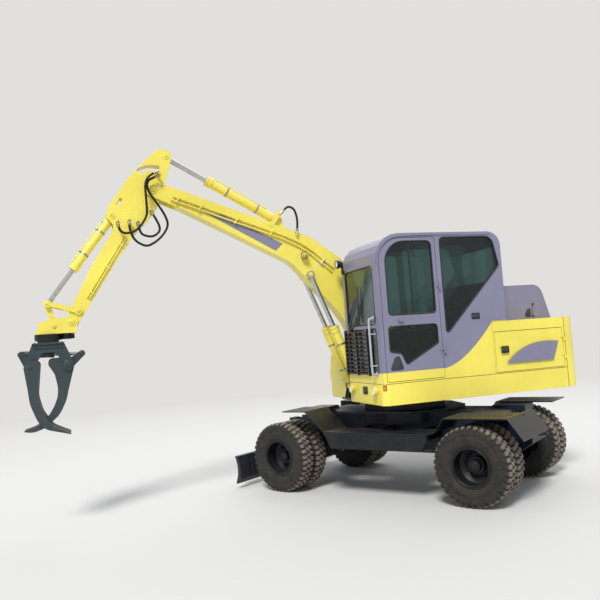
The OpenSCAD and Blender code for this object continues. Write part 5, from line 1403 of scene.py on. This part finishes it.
class EXCAVATOR_OT_nose(bpy.types.Operator):
    """Grab rail, work lamp, nose lamps and indicator at the cab's front"""
    bl_idname = "excavator.nose"
    bl_label = "Nose and lamps"

    def execute(self, context):
        x = FRONT_WALL
        piece = Piece()
        piece.pipe([Vector((x + out, RAIL_Y, z)) for out, z in RAIL_ROUTE], 0.0138, smooth=False, finish=2)
        for z in (RAIL_ROUTE[0][1], RAIL_ROUTE[-1][1]):
            piece.bar((x + 0.0003, RAIL_Y, z), (x + 0.008, RAIL_Y, z), 0.030, 24, 0.002, finish=2)
            for up, across in around(3, 0.022, math.pi / 3):
                piece.bolt((x + 0.0075, RAIL_Y + across, z + up), AHEAD, 0.0045, False, finish=2)
        # Stays from the rail back to the wall
        for z in (1.540, 1.900):
            piece.bar((x + 0.0003, RAIL_Y + 0.030, z), (x + 0.056, RAIL_Y + 0.008, z), 0.007, 12, finish=2)
            piece.band((0.0142, 0.0175), (-0.010, 0.010), (x + 0.060, RAIL_Y, z), UP, 24, finish=2)
        # Work lamp on its bracket at the right corner of the roof
        piece.box((x + 0.0003, 0.050, 2.670), (x + 0.030, 0.090, 2.712), 0.002)
        piece.box((x + 0.014, 0.050, 2.700), (x + 0.030, 0.090, 2.790), 0.002)
        piece.bolt((x + 0.030, 0.070, 2.691), AHEAD, 0.009)
        round_lamp(piece, (x + 0.096, 0.070, 2.800), AHEAD, LAMP_RADIUS, 0.076)
        # Lamps of the nose and the blank plate between them
        for y in (0.120, 0.780):
            round_lamp(piece, (x + 0.045, y, SILL_Z - 0.075), AHEAD, LAMP_RADIUS, 0.0447, 3)
        piece.box((x + 0.0003, 0.400, SILL_Z - 0.130), (x + 0.012, 0.520, SILL_Z - 0.040), 0.003)
        piece.box((x + 0.011, 0.412, SILL_Z - 0.118), (x + 0.014, 0.508, SILL_Z - 0.053), 0.001)
        finishes = ("clean_black", "clear_lens", "rail_grey", "yellow")
        piece.done("rail_and_lamps", "upper", finishes, "black_paint", ("mirror_lamps",))

        # Indicator on the cut corner of the nose
        turn = Matrix.Rotation(math.atan2(*CORNER_CUT), 4, "Z")
        corner = Piece(Matrix.Translation((0.725, 0.941, 1.283)) @ turn)
        corner.box((-0.002, -0.026, -0.024), (0.006, 0.026, 0.024), 0.003)
        corner.box((0.004, -0.023, -0.020), (0.016, 0.023, 0.020), 0.006, finish=1)
        corner.done("indicator", "upper", ("plastic", "orange_lens"), "black_plastic")

        bolts = Piece()
        for y in (GUARD_LO.y + 0.010, GUARD_HI.y - 0.010):
            for z in (GUARD_LO.z + 0.020, (GUARD_LO.z + GUARD_HI.z) / 2, GUARD_HI.z - 0.020):
                bolts.bolt((GUARD_HI.x, y, z), AHEAD, 0.009)
        bolts.done("guard_bolts", "upper", "zinc", "steel")
        return {"FINISHED"}


# Boom, arm and cylinders
def pin_head(piece, at, s, radius):
    """The end of a pin on the side s: a chamfered face, a grease nipple and a bolted keeper."""
    out = LEFT * s
    piece.lathe([(0.0, 0.005), (radius * 0.80, 0.005), (radius * 0.96, 0.001), (radius * 0.96, -0.003),
                 (0.0, -0.003)], at, out, 32)
    piece.bar(at + out * 0.004, at + out * 0.011, 0.0050, 10)
    piece.bar(at + out * 0.011, at + out * 0.015, 0.0032, 10)
    piece.bolt(at + out * 0.004 + Vector((radius * 0.55, 0, 0)), out, 0.0075)


def boss_ring(piece, at, s, inner, outer, depth=0.006):
    """A raised ring round a pin, on the side s of a plate."""
    piece.lathe([(inner, -0.002), (outer, -0.002), (outer, depth * 0.7), (outer - 0.002, depth),
                 (inner, depth)], at, LEFT * s, 40)


def cylinder_trim(piece, foot, eye, reach, radius, upward=1):
    """Gland bolts, oil pipe and its bands on a barrel that reaches so far from foot to eye."""
    line = (eye - foot).normalized()
    up = Vector((-line.z, 0, line.x)) * upward
    head = foot + line * (reach + 0.008)
    piece.lathe([(radius * 0.70, 0.0), (radius + 0.0085, 0.0), (radius + 0.0095, -0.004),
                 (radius + 0.0095, -0.030), (radius + 0.0065, -0.034), (radius * 0.70, -0.034)],
                head, line, 40)
    for over, across in around(8, radius * 0.90, math.pi / 8):
        piece.bolt(head + up * over + Vector((0, across, 0)), line, 0.0065, False, finish=1)
    for share in (0.30, 0.72):
        at = foot + line * reach * share
        piece.band((radius + 0.0002, radius + 0.0025), (-0.011, 0.011), at, line, finish=1)
        piece.bar(at + up * (radius - 0.002), at + up * (radius + 0.023), 0.011, 12, 0.001, finish=1)
    # The pipe leaves the barrel, runs beside it and goes back in
    near, far = foot + line * (reach * 0.16), foot + line * (reach - 0.062)
    rail = radius + 0.014
    route = ((near, 0.0, radius * 0.9), (near, 0.006, rail - 0.002), (near, 0.026, rail),
             (far, -0.026, rail), (far, -0.006, rail - 0.002), (far, 0.0, radius * 0.9))
    piece.pipe([at + line * along + up * out for at, along, out in route], 0.0075, smooth=False, sides=2)
    for at in (near, far):
        piece.bar(at + up * (radius - 0.006), at + up * (radius + 0.010), 0.013, 6, 0.001, finish=1)


# Corners of the boom's stripe, along the boom and over its line
BOOM_STRIPE = ((2.720, 0.150), (2.530, 0.262), (2.330, 0.317), (1.716, 0.444), (1.736, 0.315),
               (2.620, 0.166))
# Clips of the boom's pipes: share of its length, and height over its line
BOOM_CLIPS = ((0.35, 0.604), (0.57, 0.483), (0.70, 0.334), (0.83, 0.185), (0.91, 0.093))
# The blank sign: its lowest and its highest corner, along and up
SIGN = ((0.907, 2.815), (1.027, 2.905))


class EXCAVATOR_OT_boom_trim(bpy.types.Operator):
    """Stripe, work lamp, bosses and pipe clips of the boom"""
    bl_idname = "excavator.boom_trim"
    bl_label = "Boom trim"

    def execute(self, context):
        proud = sizes("trim_sizes").proud
        stripe, sign = Piece(), Piece()
        for s in (-1, 1):
            face = BOOM_Y + s * (BOOM_FACE - 0.0002)
            stripe.plate([on_boom(along, over, face) for along, over in BOOM_STRIPE], LEFT * s * proud)
            sign.plate(side(rounded_field(*SIGN, 0.008), face), LEFT * s * proud)
        stripe.done("boom_stripe", "boom", "lavender", "lavender_paint")
        sign.done("boom_sign", "boom", "sign_white", "yellow_paint")

        lamp_at = on_boom(0.4187 * BOOM_LENGTH, 0.485, BOOM_Y + BOOM_FACE + 0.044)
        lamp = Piece()
        round_lamp(lamp, lamp_at + AHEAD * 0.0345, AHEAD, 0.042)
        for k in range(4):
            fin = lamp_at + Vector((-0.022 + 0.011 * k, 0, 0))
            lamp.band((0.0395, 0.0425), (-0.002, 0.002), fin, AHEAD, 32)
        lamp.done("boom_lamp", "boom", ("clean_black", "clear_lens"), "black_paint")

        piece = Piece()
        for s in (-1, 1):
            boss_ring(piece, Vector((ARM_PIN.x, BOOM_Y + s * BOOM_FACE, ARM_PIN.z)), s, 0.034, 0.058)
            pin_head(piece, Vector((BOOM_PIN.x, BOOM_Y + s * 0.139, BOOM_PIN.z)), s, 0.035)
        for share, over in BOOM_CLIPS:
            at = on_boom(share * BOOM_LENGTH, over - 0.025, BOOM_Y + BOOM_FACE + 0.037)
            piece.bolt(at, LEFT, 0.009)
        piece.done("boom_bosses", "boom", "worn_yellow", "yellow_paint")
        return {"FINISHED"}


# The tool barrel's foot, along the arm and over its line
TOOL_FOOT = (0.287 * ARM_LENGTH, 0.232)
# Pins of the linkage: body, point, distance of the pin's end from the middle plane, radius
PINS = (
    ("arm", ARM_PIN, 0.112, 0.032),
    ("boom_rods", BOOM_EYE, 0.164, 0.030),
    ("arm_barrel", on_boom(0.573 * BOOM_LENGTH, 0.665, BOOM_Y), 0.060, 0.022),
    ("tool_barrel", on_arm(*TOOL_FOOT, BOOM_Y), 0.080, 0.022),
    ("tilt_lever", PIVOT["tilt_lever_swing"], 0.105, 0.024),
    ("tilt_lever", TOOL_EYE, 0.100, 0.026),
    ("tilt_link", PIVOT["tilt_link_swing"], 0.110, 0.022),
    ("hanger", TOOL_PIN, 0.110, 0.028),
    ("front_jaw", PIVOT["jaws_open"], 0.190, 0.028),
    ("rear_jaw", PIVOT["rear_jaw_open"], 0.142, 0.028),
)


class EXCAVATOR_OT_pins(bpy.types.Operator):
    """Heads of the linkage pins, each on the body that holds it"""
    bl_idname = "excavator.pins"
    bl_label = "Pins"

    def execute(self, context):
        heads = {}
        for body, at, reach, radius in PINS:
            piece = heads.setdefault(body, Piece())
            for s in (-1, 1):
                pin_head(piece, Vector((at.x, BOOM_Y + s * reach, at.z)), s, radius)
        for body, piece in heads.items():
            jaw = body.endswith("jaw")
            piece.done(body + "_pin_heads", body, "grapple" if jaw else "worn_yellow",
                       "grapple_paint" if jaw else "yellow_paint")
        return {"FINISHED"}


class EXCAVATOR_OT_arm_trim(bpy.types.Operator):
    """Bosses and oil pipes of the arm"""
    bl_idname = "excavator.arm_trim"
    bl_label = "Arm trim"

    def execute(self, context):
        piece = Piece()
        for s in (-1, 1):
            face = BOOM_Y + s * ARM_FACE
            boss_ring(piece, on_arm(ARM_LENGTH - 0.149, 0.006, face), s, 0.026, 0.044, 0.0045)
            boss_ring(piece, on_arm(*TOOL_FOOT, face), s, 0.026, 0.042, 0.0045)
            boss = Vector((ARM_EYE.x, face, ARM_EYE.z))
            boss_ring(piece, boss, s, 0.0, 0.038)
            piece.bolt(boss + LEFT * s * 0.005, LEFT * s, 0.012)
        plane = BOOM_Y + ARM_FACE + 0.014
        for over in (-0.030, 0.0):
            ends = ((0.660, -0.012), (0.672, 0.0), (1.480, 0.0), (1.492, -0.012))
            piece.pipe([on_arm(along, over, plane + y) for along, y in ends], 0.008, smooth=False, sides=2)
        for along in (0.760, 1.060, 1.400):
            clip = ((0.0, -0.046), (0.022, -0.046), (0.022, 0.016), (0.0, 0.016))
            piece.plate([on_arm(along + further, over, plane - 0.016) for further, over in clip],
                        LEFT * 0.026, 0.002)
            piece.bolt(on_arm(along + 0.011, -0.015, plane + 0.010), LEFT, 0.006)
        piece.done("arm_fittings", "arm", "worn_yellow", "yellow_paint")
        return {"FINISHED"}


# Foot and eye of a blade cylinder on the chassis' own line
BLADE_FOOT, BLADE_EYE = Vector((1.695, 0, 0.790)), Vector((1.920, 0, 0.310))
# Barrels: paint, slot, sides, foot, eye, reach, radius, side that the pipe is on
BARRELS = {
    "boom_barrels": ("worn_yellow", "yellow_paint", (-0.136, 0.136), PIVOT["boom_barrel_swing"], BOOM_EYE,
                     0.836, 0.054, -1),
    "arm_barrel": ("worn_yellow", "yellow_paint", (0,), PIVOT["arm_barrel_swing"], ARM_EYE, 1.004, 0.056, 1),
    "tool_barrel": ("worn_yellow", "yellow_paint", (0,), PIVOT["tool_barrel_swing"], TOOL_EYE,
                    0.760, 0.049, 1),
    "blade_barrels": ("navy", "navy_paint", (-0.150, 0.150), BLADE_FOOT, BLADE_EYE, 0.292, 0.038, 1),
}


class EXCAVATOR_OT_cylinders(bpy.types.Operator):
    """Glands and oil pipes of the hydraulic cylinders"""
    bl_idname = "excavator.cylinders"
    bl_label = "Cylinder fittings"

    def execute(self, context):
        for body, (tone, slot, offsets, foot, eye, reach, radius, upward) in BARRELS.items():
            piece = Piece(chassis_place() if body == "blade_barrels" else None)
            for y in offsets:
                off = LEFT * y
                cylinder_trim(piece, foot + off, eye + off, reach, radius, upward)
            piece.done(body + "_fittings", body, (tone, "zinc"), slot)
        return {"FINISHED"}


# Tool and grapple
TOOL_X = PIVOT["rotator_turn"].x
ROTATOR_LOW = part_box("rotator")[0].z
ROTATOR_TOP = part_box("hanger")[0].z
JAW_Z = PIVOT["jaws_open"].z
JAW_HALF = PIVOT["jaws_open"].x - TOOL_X
HEAD_TOP = ROTATOR_LOW - 0.028
# Half widths of hanger, grapple head and jaws at their bosses
HANGER_FACE, HEAD_FACE, JAW_FACE = 0.104, 0.135, 0.060


class EXCAVATOR_OT_grapple(bpy.types.Operator):
    """Rotator fittings, bosses and bolts of hanger and grapple"""
    bl_idname = "excavator.grapple"
    bl_label = "Grapple trim"

    def execute(self, context):
        piece = Piece()
        for s in (-1, 1):
            at = Vector((TOOL_PIN.x, BOOM_Y + s * HANGER_FACE, TOOL_PIN.z))
            boss_ring(piece, at, s, 0.029, 0.045, 0.005)
            for x in (TOOL_PIN.x + 0.020, TOOL_X - 0.080, TOOL_X + 0.090):
                piece.bolt((x, BOOM_Y + s * 0.055, ROTATOR_TOP + 0.024), UP, 0.012)
        piece.done("hanger_fittings", "hanger", "worn_yellow", "yellow_paint")
        self.rotator()

        piece = Piece()
        for s in (-1, 1):
            face = BOOM_Y + s * HEAD_FACE
            for x in (TOOL_X - JAW_HALF, TOOL_X + JAW_HALF):
                boss_ring(piece, Vector((x, face, JAW_Z)), s, 0.030, 0.050, 0.0045)
            for x in (-0.140, -0.050, 0.050, 0.140):
                piece.bolt((TOOL_X + x, BOOM_Y + s * 0.142, HEAD_TOP), UP, 0.010)
            rib = ((-0.150, -0.055), (0.150, -0.055), (0.150, -0.043), (-0.150, -0.043))
            piece.plate(side([(TOOL_X + x, HEAD_TOP + z) for x, z in rib], face), LEFT * s * 0.016, 0.002)
        piece.done("head_fittings", "grapple_head", "grapple", "grapple_paint")
        # Bosses round the ends of the jaw cylinder, and its pin in the rear jaw
        for body, pivot, along, up in (("front_jaw", "jaws_open", 0.087, 0.148),
                                       ("rear_jaw", "rear_jaw_open", -0.150, 0.120)):
            piece = Piece()
            x, z = PIVOT[pivot].x + along, PIVOT[pivot].z + up
            for s in (-1, 1):
                at = Vector((x, BOOM_Y + s * JAW_FACE, z))
                boss_ring(piece, at, s, 0.021, 0.033, 0.005)
                if body == "rear_jaw":
                    pin_head(piece, at + LEFT * s * 0.004, s, 0.024)
            piece.done(body + "_bosses", body, "grapple", "grapple_paint")
        return {"FINISHED"}

    def rotator(self):
        """Rings, bolts, motor cover and ports of the rotator."""
        piece = Piece()
        for z in (ROTATOR_LOW + 0.004, ROTATOR_TOP - 0.012):
            piece.lathe([(0.136, 0.0), (0.1445, 0.0), (0.1455, 0.003), (0.1445, 0.007), (0.136, 0.007)],
                        (TOOL_X, BOOM_Y, z), UP, 56)
        middle = Vector((TOOL_X, BOOM_Y, ROTATOR_LOW + 0.034))
        for x, y in around(16, 0.1415):
            out = Vector((x, y, 0))
            piece.bolt(middle + out, out, 0.006, False)
        motor = Vector((TOOL_X - 0.194, BOOM_Y + 0.020, ROTATOR_LOW + 0.064))
        piece.lathe([(0.0, 0.010), (0.030, 0.010), (0.034, 0.004), (0.052, 0.002), (0.054, -0.002),
                     (0.0, -0.002)], motor, UP, 32, finish=1)
        for x, y in around(4, 0.042, math.pi / 4):
            piece.bolt(motor + Vector((x, y, 0.002)), UP, 0.006, False, finish=1)
        for y in (-0.014, 0.014):
            foot = motor + Vector((-0.062, y, -0.034))
            piece.bar(foot, foot + UP * 0.044, 0.011, 6, 0.001, finish=1)
        piece.done("rotator_fittings", "hanger", ("clean_black", "cast"), "black_paint")


# Chassis
STEP_EDGE = 1.060
FRONT_FENDER_Z, REAR_FENDER_Z, STEP_Z = 1.015, 0.945, 0.765
RING_TOP = 1.020


class EXCAVATOR_OT_chassis_trim(bpy.types.Operator):
    """Tread plates, ring bolts, axle bolts and the blade's cutting edge"""
    bl_idname = "excavator.chassis_trim"
    bl_label = "Chassis trim"

    def execute(self, context):
        treads = Piece(chassis_place())
        for s in (-1, 1):
            # Along, across in a left-hand sense, top
            for along, across, top in (((0.870, 1.180), (0.653, 1.040), FRONT_FENDER_Z),
                                       ((-1.640, -1.000), (0.653, 1.040), REAR_FENDER_Z),
                                       ((-0.660, 0.560), (0.660, 1.050), STEP_Z)):
                near, far = sorted((s * across[0], s * across[1]))
                tread_bars(treads, (along[0], near), (along[1], far), top)
            # Folded lip along the step's outer edge, and the handles of its lids
            edge, out = s * STEP_EDGE, s * 0.004
            treads.box((-0.755, edge - out, STEP_Z - 0.026),
                       (0.590, edge + s * 0.0025, STEP_Z + 0.004), 0.002)
            for x in (-0.400, 0.200):
                treads.box((x - 0.090, edge - s * 0.002, STEP_Z - 0.130),
                           (x + 0.090, edge + out, STEP_Z - 0.075), 0.004)
                treads.box((x - 0.030, edge, STEP_Z - 0.112), (x + 0.030, edge + out, STEP_Z - 0.094), 0.001)
        treads.done("tread_plates", "chassis", "satin_black", "black_paint")

        bolts = Piece(chassis_place())
        for x, y in around(36, 0.4895):
            bolts.bolt((x, y, RING_TOP), UP, 0.0085)
        # Bolted flanges of both axle heads
        for x in AXLE_X.values():
            for s in (-1, 1):
                at = Vector((x, s * 0.078, sizes("wheel_sizes").radius))
                flange = [(0.140, -0.002), (0.168, -0.002), (0.168, 0.014), (0.140, 0.016)]
                bolts.lathe(flange, at, LEFT * s, 56)
                for dx, dz in around(12, 0.158):
                    bolts.bolt(at + Vector((dx, s * 0.013, dz)), LEFT * s, 0.008)
        bolts.done("ring_bolts", "chassis", "cast", "steel")
        self.blade_edge()
        return {"FINISHED"}

    def blade_edge(self):
        """Bolted cutting edge along the blade's foot, and ribs on its back."""
        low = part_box("blade")[0].z
        edge = ((2.030, 0.001), (2.049, 0.001), (2.022, 0.090), (2.012, 0.090))
        piece = Piece(chassis_place())
        piece.plate([Vector((x, -1.046, low + z)) for x, z in edge], (0, 2.092, 0), 0.002)
        slope = math.atan2(edge[1][0] - edge[2][0], edge[2][1] - edge[1][1])
        for k in range(12):
            at = (2.0355, -0.935 + 1.870 * k / 11, low + 0.0455)
            head = [(0.0, 0.003), (0.010, 0.003), (0.013, 0.0), (0.013, -0.002), (0.0, -0.002)]
            piece.lathe(head, at, (math.cos(slope), 0, math.sin(slope)), 16)
        for y in (-0.820, -0.560, 0.560, 0.820):
            rib = ((1.962, 0.060), (1.962, 0.300), (1.935, 0.220), (1.935, 0.100))
            piece.plate([Vector((x, y - 0.007, low + z)) for x, z in rib], (0, 0.014, 0), 0.001)
        piece.done("blade_edge", "blade", "navy", "navy_paint")


# Engine bay
class EXCAVATOR_OT_engine(bpy.types.Operator):
    """Cover, filter, silencer, fan and radiator round the engine"""
    bl_idname = "excavator.engine"
    bl_label = "Engine bay"

    def execute(self, context):
        low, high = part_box("engine_block")
        top = high.z
        piece = Piece()
        piece.box((low.x + 0.10, low.y + 0.22, top - 0.002), (high.x - 0.10, high.y - 0.26, top + 0.075),
                  0.020)
        for k in range(4):
            x = low.x + 0.16 + k * 0.12
            piece.bar((x, low.y + 0.36, top + 0.07), (x, low.y + 0.36, top + 0.092), 0.016, 16, 0.002,
                      finish=1)
            # Exhaust branches into the silencer
            branch = ((-0.02, -0.25, 0.02), (-0.02, -0.14, 0.05), (0.0, -0.10, 0.09))
            piece.pipe([Vector((x + dx, high.y + dy, top + dz)) for dx, dy, dz in branch], 0.022, finish=2)
        silencer = Vector((0, high.y - 0.08, top + 0.13))
        piece.bar(silencer + Vector((low.x + 0.10, 0, 0)), silencer + Vector((high.x - 0.06, 0, 0)),
                  0.062, 32, 0.010, finish=2)
        # Air filter on its bands, and the pipe to the head
        duct = Vector((low.x, low.y + 0.04, top + 0.16))
        piece.bar(duct + AHEAD * 0.08, duct + AHEAD * 0.50, 0.095, 36, 0.012, finish=1)
        for x in (0.16, 0.40):
            at = duct + AHEAD * x
            piece.band((0.0952, 0.099), (-0.012, 0.012), at, AHEAD, 36, finish=3)
            piece.box(at - Vector((0.012, 0.060, 0.162)), at + Vector((0.012, 0.060, -0.080)), 0.003,
                      finish=3)
        elbow = ((0.50, 0, 0), (0.58, 0.02, -0.01), (0.60, 0.16, -0.11))
        piece.pipe([duct + Vector(point) for point in elbow], 0.040, finish=1)
        self.fan(piece, Vector(((low.x + high.x) / 2, high.y, (low.z + high.z) / 2 + 0.02)))
        piece.done("engine_fittings", "upper", ("cast", "plastic", "rim_black", "zinc"), "engine_iron")
        return {"FINISHED"}

    def fan(self, piece, hub):
        """The fan, its shroud and the radiator before it, from the middle of the engine's side."""
        piece.bar(hub, hub + LEFT * 0.050, 0.050, 24, 0.003, finish=2)
        middle = hub + LEFT * 0.035
        for x, z in around(7, 1.0):
            out, cross = Vector((x, 0, z)), Vector((-z, 0.45, x)) * 0.040
            root, tip = middle + out * 0.045, middle + out * 0.205
            corners = [root - cross, tip - cross * 1.3, tip + cross * 1.3, root + cross]
            piece.plate(corners, (0, 0.003, 0), finish=1)
        piece.band((0.212, 0.222), (-0.002, 0.066), hub + LEFT * 0.020, LEFT, finish=1)
        core = hub + LEFT * 0.085
        piece.box(core - Vector((0.290, 0, 0.270)), core + Vector((0.290, 0.075, 0.290)), 0.006, finish=1)
        for k in range(24):
            fin = core + Vector((0, 0.0745, -0.250 + k * 0.0225))
            piece.box(fin - AHEAD * 0.255, fin + Vector((0.255, 0.0055, 0.006)), 0, finish=3)
        for s in (-1, 1):
            leg = core + Vector((s * 0.270, 0.035, 0))
            piece.box((leg.x - 0.015, leg.y - 0.025, DECK_Z + 0.024),
                      (leg.x + 0.015, leg.y + 0.025, core.z - 0.260), 0.004, finish=3)


# Stage
CAMERA_AT = Vector((4.0761, 8.003, 1.8899))
CAMERA_TURN, CAMERA_PITCH, CAMERA_ROLL = (math.radians(degrees) for degrees in (-108.92, 3.43, -4.09))
CAMERA_LENS = 41.264
CAMERA_SHIFT = -1 / 600
FLOOR_SIDE = 80.0
FADE_FROM, FADE_TO = 6.0, 16.0
BACKDROP = 1.22
SKY_TONE, SKY_STRENGTH = (0.86, 0.92, 1.0, 1.0), 0.55
# name, direction to the light, strength, angle across
LIGHTS = (
    ("key", (0.35, 0.55, 0.76), 3.0, math.radians(16)),
    ("fill", (-0.45, -0.60, 0.66), 0.9, math.radians(60)),
)


def seen_directly(nodes):
    """1 for what the camera, a mirror or glass looks at; 0 for light that only falls on things."""
    path = nodes.add("LightPath").outputs
    seen = nodes.maths("MAXIMUM", path["Is Camera Ray"], path["Is Glossy Ray"])
    return nodes.maths("MAXIMUM", seen, path["Is Transmission Ray"])


def camera_matrix():
    """Place and turn of the camera that the photo was taken with."""
    turn_cos, turn_sin = math.cos(CAMERA_TURN), math.sin(CAMERA_TURN)
    level = math.cos(CAMERA_PITCH)
    ahead = Vector((turn_cos * level, turn_sin * level, math.sin(CAMERA_PITCH)))
    across = Vector((turn_sin, -turn_cos, 0.0))
    above = across.cross(ahead)
    roll = Matrix.Rotation(CAMERA_ROLL, 3, "Z")
    turned = Matrix((across, above, -ahead)).transposed() @ roll
    return Matrix.Translation(CAMERA_AT) @ turned.to_4x4()


class EXCAVATOR_OT_stage(bpy.types.Operator):
    """Sets a plain floor, a soft studio light and the photo's camera"""
    bl_idname = "excavator.stage"
    bl_label = "Set the stage"

    def execute(self, context):
        scene = context.scene
        scene.view_settings.view_transform = "Standard"
        tone = rgba(sizes("excavator_colours").floor)

        bm = bmesh.new()
        bmesh.ops.create_grid(bm, x_segments=1, y_segments=1, size=FLOOR_SIDE / 2)
        mesh = bpy.data.meshes.new("floor")
        bm.to_mesh(mesh)
        bm.free()
        floor = bpy.data.objects.new("floor", mesh)
        scene.collection.objects.link(floor)

        made, nodes, shader = new_material("floor")
        out = shader.outputs[0].links[0].to_socket
        nodes.feed(shader.inputs["Base Color"], tone)
        nodes.feed(shader.inputs["Roughness"], 0.9)
        glow = nodes.add("Emission", {"Color": tone, "Strength": BACKDROP}).outputs[0]
        away = nodes.add("VectorMath", {0: object_place(nodes)}, operation="LENGTH").outputs["Value"]
        far = nodes.maths("MULTIPLY", nodes.between(away, FADE_FROM, FADE_TO), seen_directly(nodes))
        nodes.feed(out, nodes.add("MixShader", {0: far, 1: shader.outputs[0], 2: glow}).outputs[0])
        mesh.materials.append(made)

        world = bpy.data.worlds.new("studio")
        scene.world = world
        world.use_nodes = True
        world.node_tree.nodes.clear()
        nodes = Nodes(world.node_tree)
        shown = nodes.add("Background", {"Color": tone, "Strength": BACKDROP}).outputs[0]
        light = nodes.add("Background", {"Color": SKY_TONE, "Strength": SKY_STRENGTH}).outputs[0]
        both = nodes.add("MixShader", {0: seen_directly(nodes), 1: light, 2: shown}).outputs[0]
        nodes.add("OutputWorld", {"Surface": both})

        for name, toward, strength, across in LIGHTS:
            data = bpy.data.lights.new(name, "SUN")
            data.energy, data.angle = strength, across
            lamp = bpy.data.objects.new(name, data)
            lamp.location = Vector(toward) * 20
            lamp.rotation_euler = Vector(toward).to_track_quat("Z", "Y").to_euler()
            scene.collection.objects.link(lamp)

        data = bpy.data.cameras.new("camera")
        data.lens = CAMERA_LENS
        data.shift_y = CAMERA_SHIFT
        camera = bpy.data.objects.new("camera", data)
        camera.matrix_world = camera_matrix()
        scene.collection.objects.link(camera)
        scene.camera = camera
        return {"FINISHED"}


# The add-on
STEPS = (EXCAVATOR_OT_stage, EXCAVATOR_OT_hoses, EXCAVATOR_OT_paint, EXCAVATOR_OT_tyres,
         EXCAVATOR_OT_rims, EXCAVATOR_OT_cab_trim, EXCAVATOR_OT_cab_inside, EXCAVATOR_OT_body,
         EXCAVATOR_OT_lids, EXCAVATOR_OT_nose,
         EXCAVATOR_OT_boom_trim, EXCAVATOR_OT_arm_trim, EXCAVATOR_OT_pins, EXCAVATOR_OT_cylinders,
         EXCAVATOR_OT_grapple, EXCAVATOR_OT_chassis_trim, EXCAVATOR_OT_engine)


class EXCAVATOR_PT_panel(bpy.types.Panel):
    """Lists the steps of the build"""
    bl_label = "Excavator"
    bl_idname = "EXCAVATOR_PT_panel"
    bl_space_type = "VIEW_3D"
    bl_region_type = "UI"
    bl_category = "Excavator"

    def draw(self, context):
        for step in STEPS:
            self.layout.operator(step.bl_idname)
        for group in GROUPS_OF_SIZES:
            for key in getattr(context.scene, group).__annotations__:
                self.layout.prop(getattr(context.scene, group), key)


GROUPS_OF_SIZES = {"excavator_colours": ExcavatorColours, "wheel_sizes": WheelSizes,
                   "trim_sizes": TrimSizes}
CLASSES = (*GROUPS_OF_SIZES.values(), *STEPS, EXCAVATOR_PT_panel)


def register():
    for each in CLASSES:
        bpy.utils.register_class(each)
    for name, group in GROUPS_OF_SIZES.items():
        setattr(bpy.types.Scene, name, PointerProperty(type=group))


def unregister():
    for name in GROUPS_OF_SIZES:
        delattr(bpy.types.Scene, name)
    for each in reversed(CLASSES):
        bpy.utils.unregister_class(each)


def main():
    """Runs every step in turn."""
    register()
    for step in STEPS:
        getattr(bpy.ops.excavator, step.bl_idname.split(".")[1])()


if __name__ == "__main__":
    main()
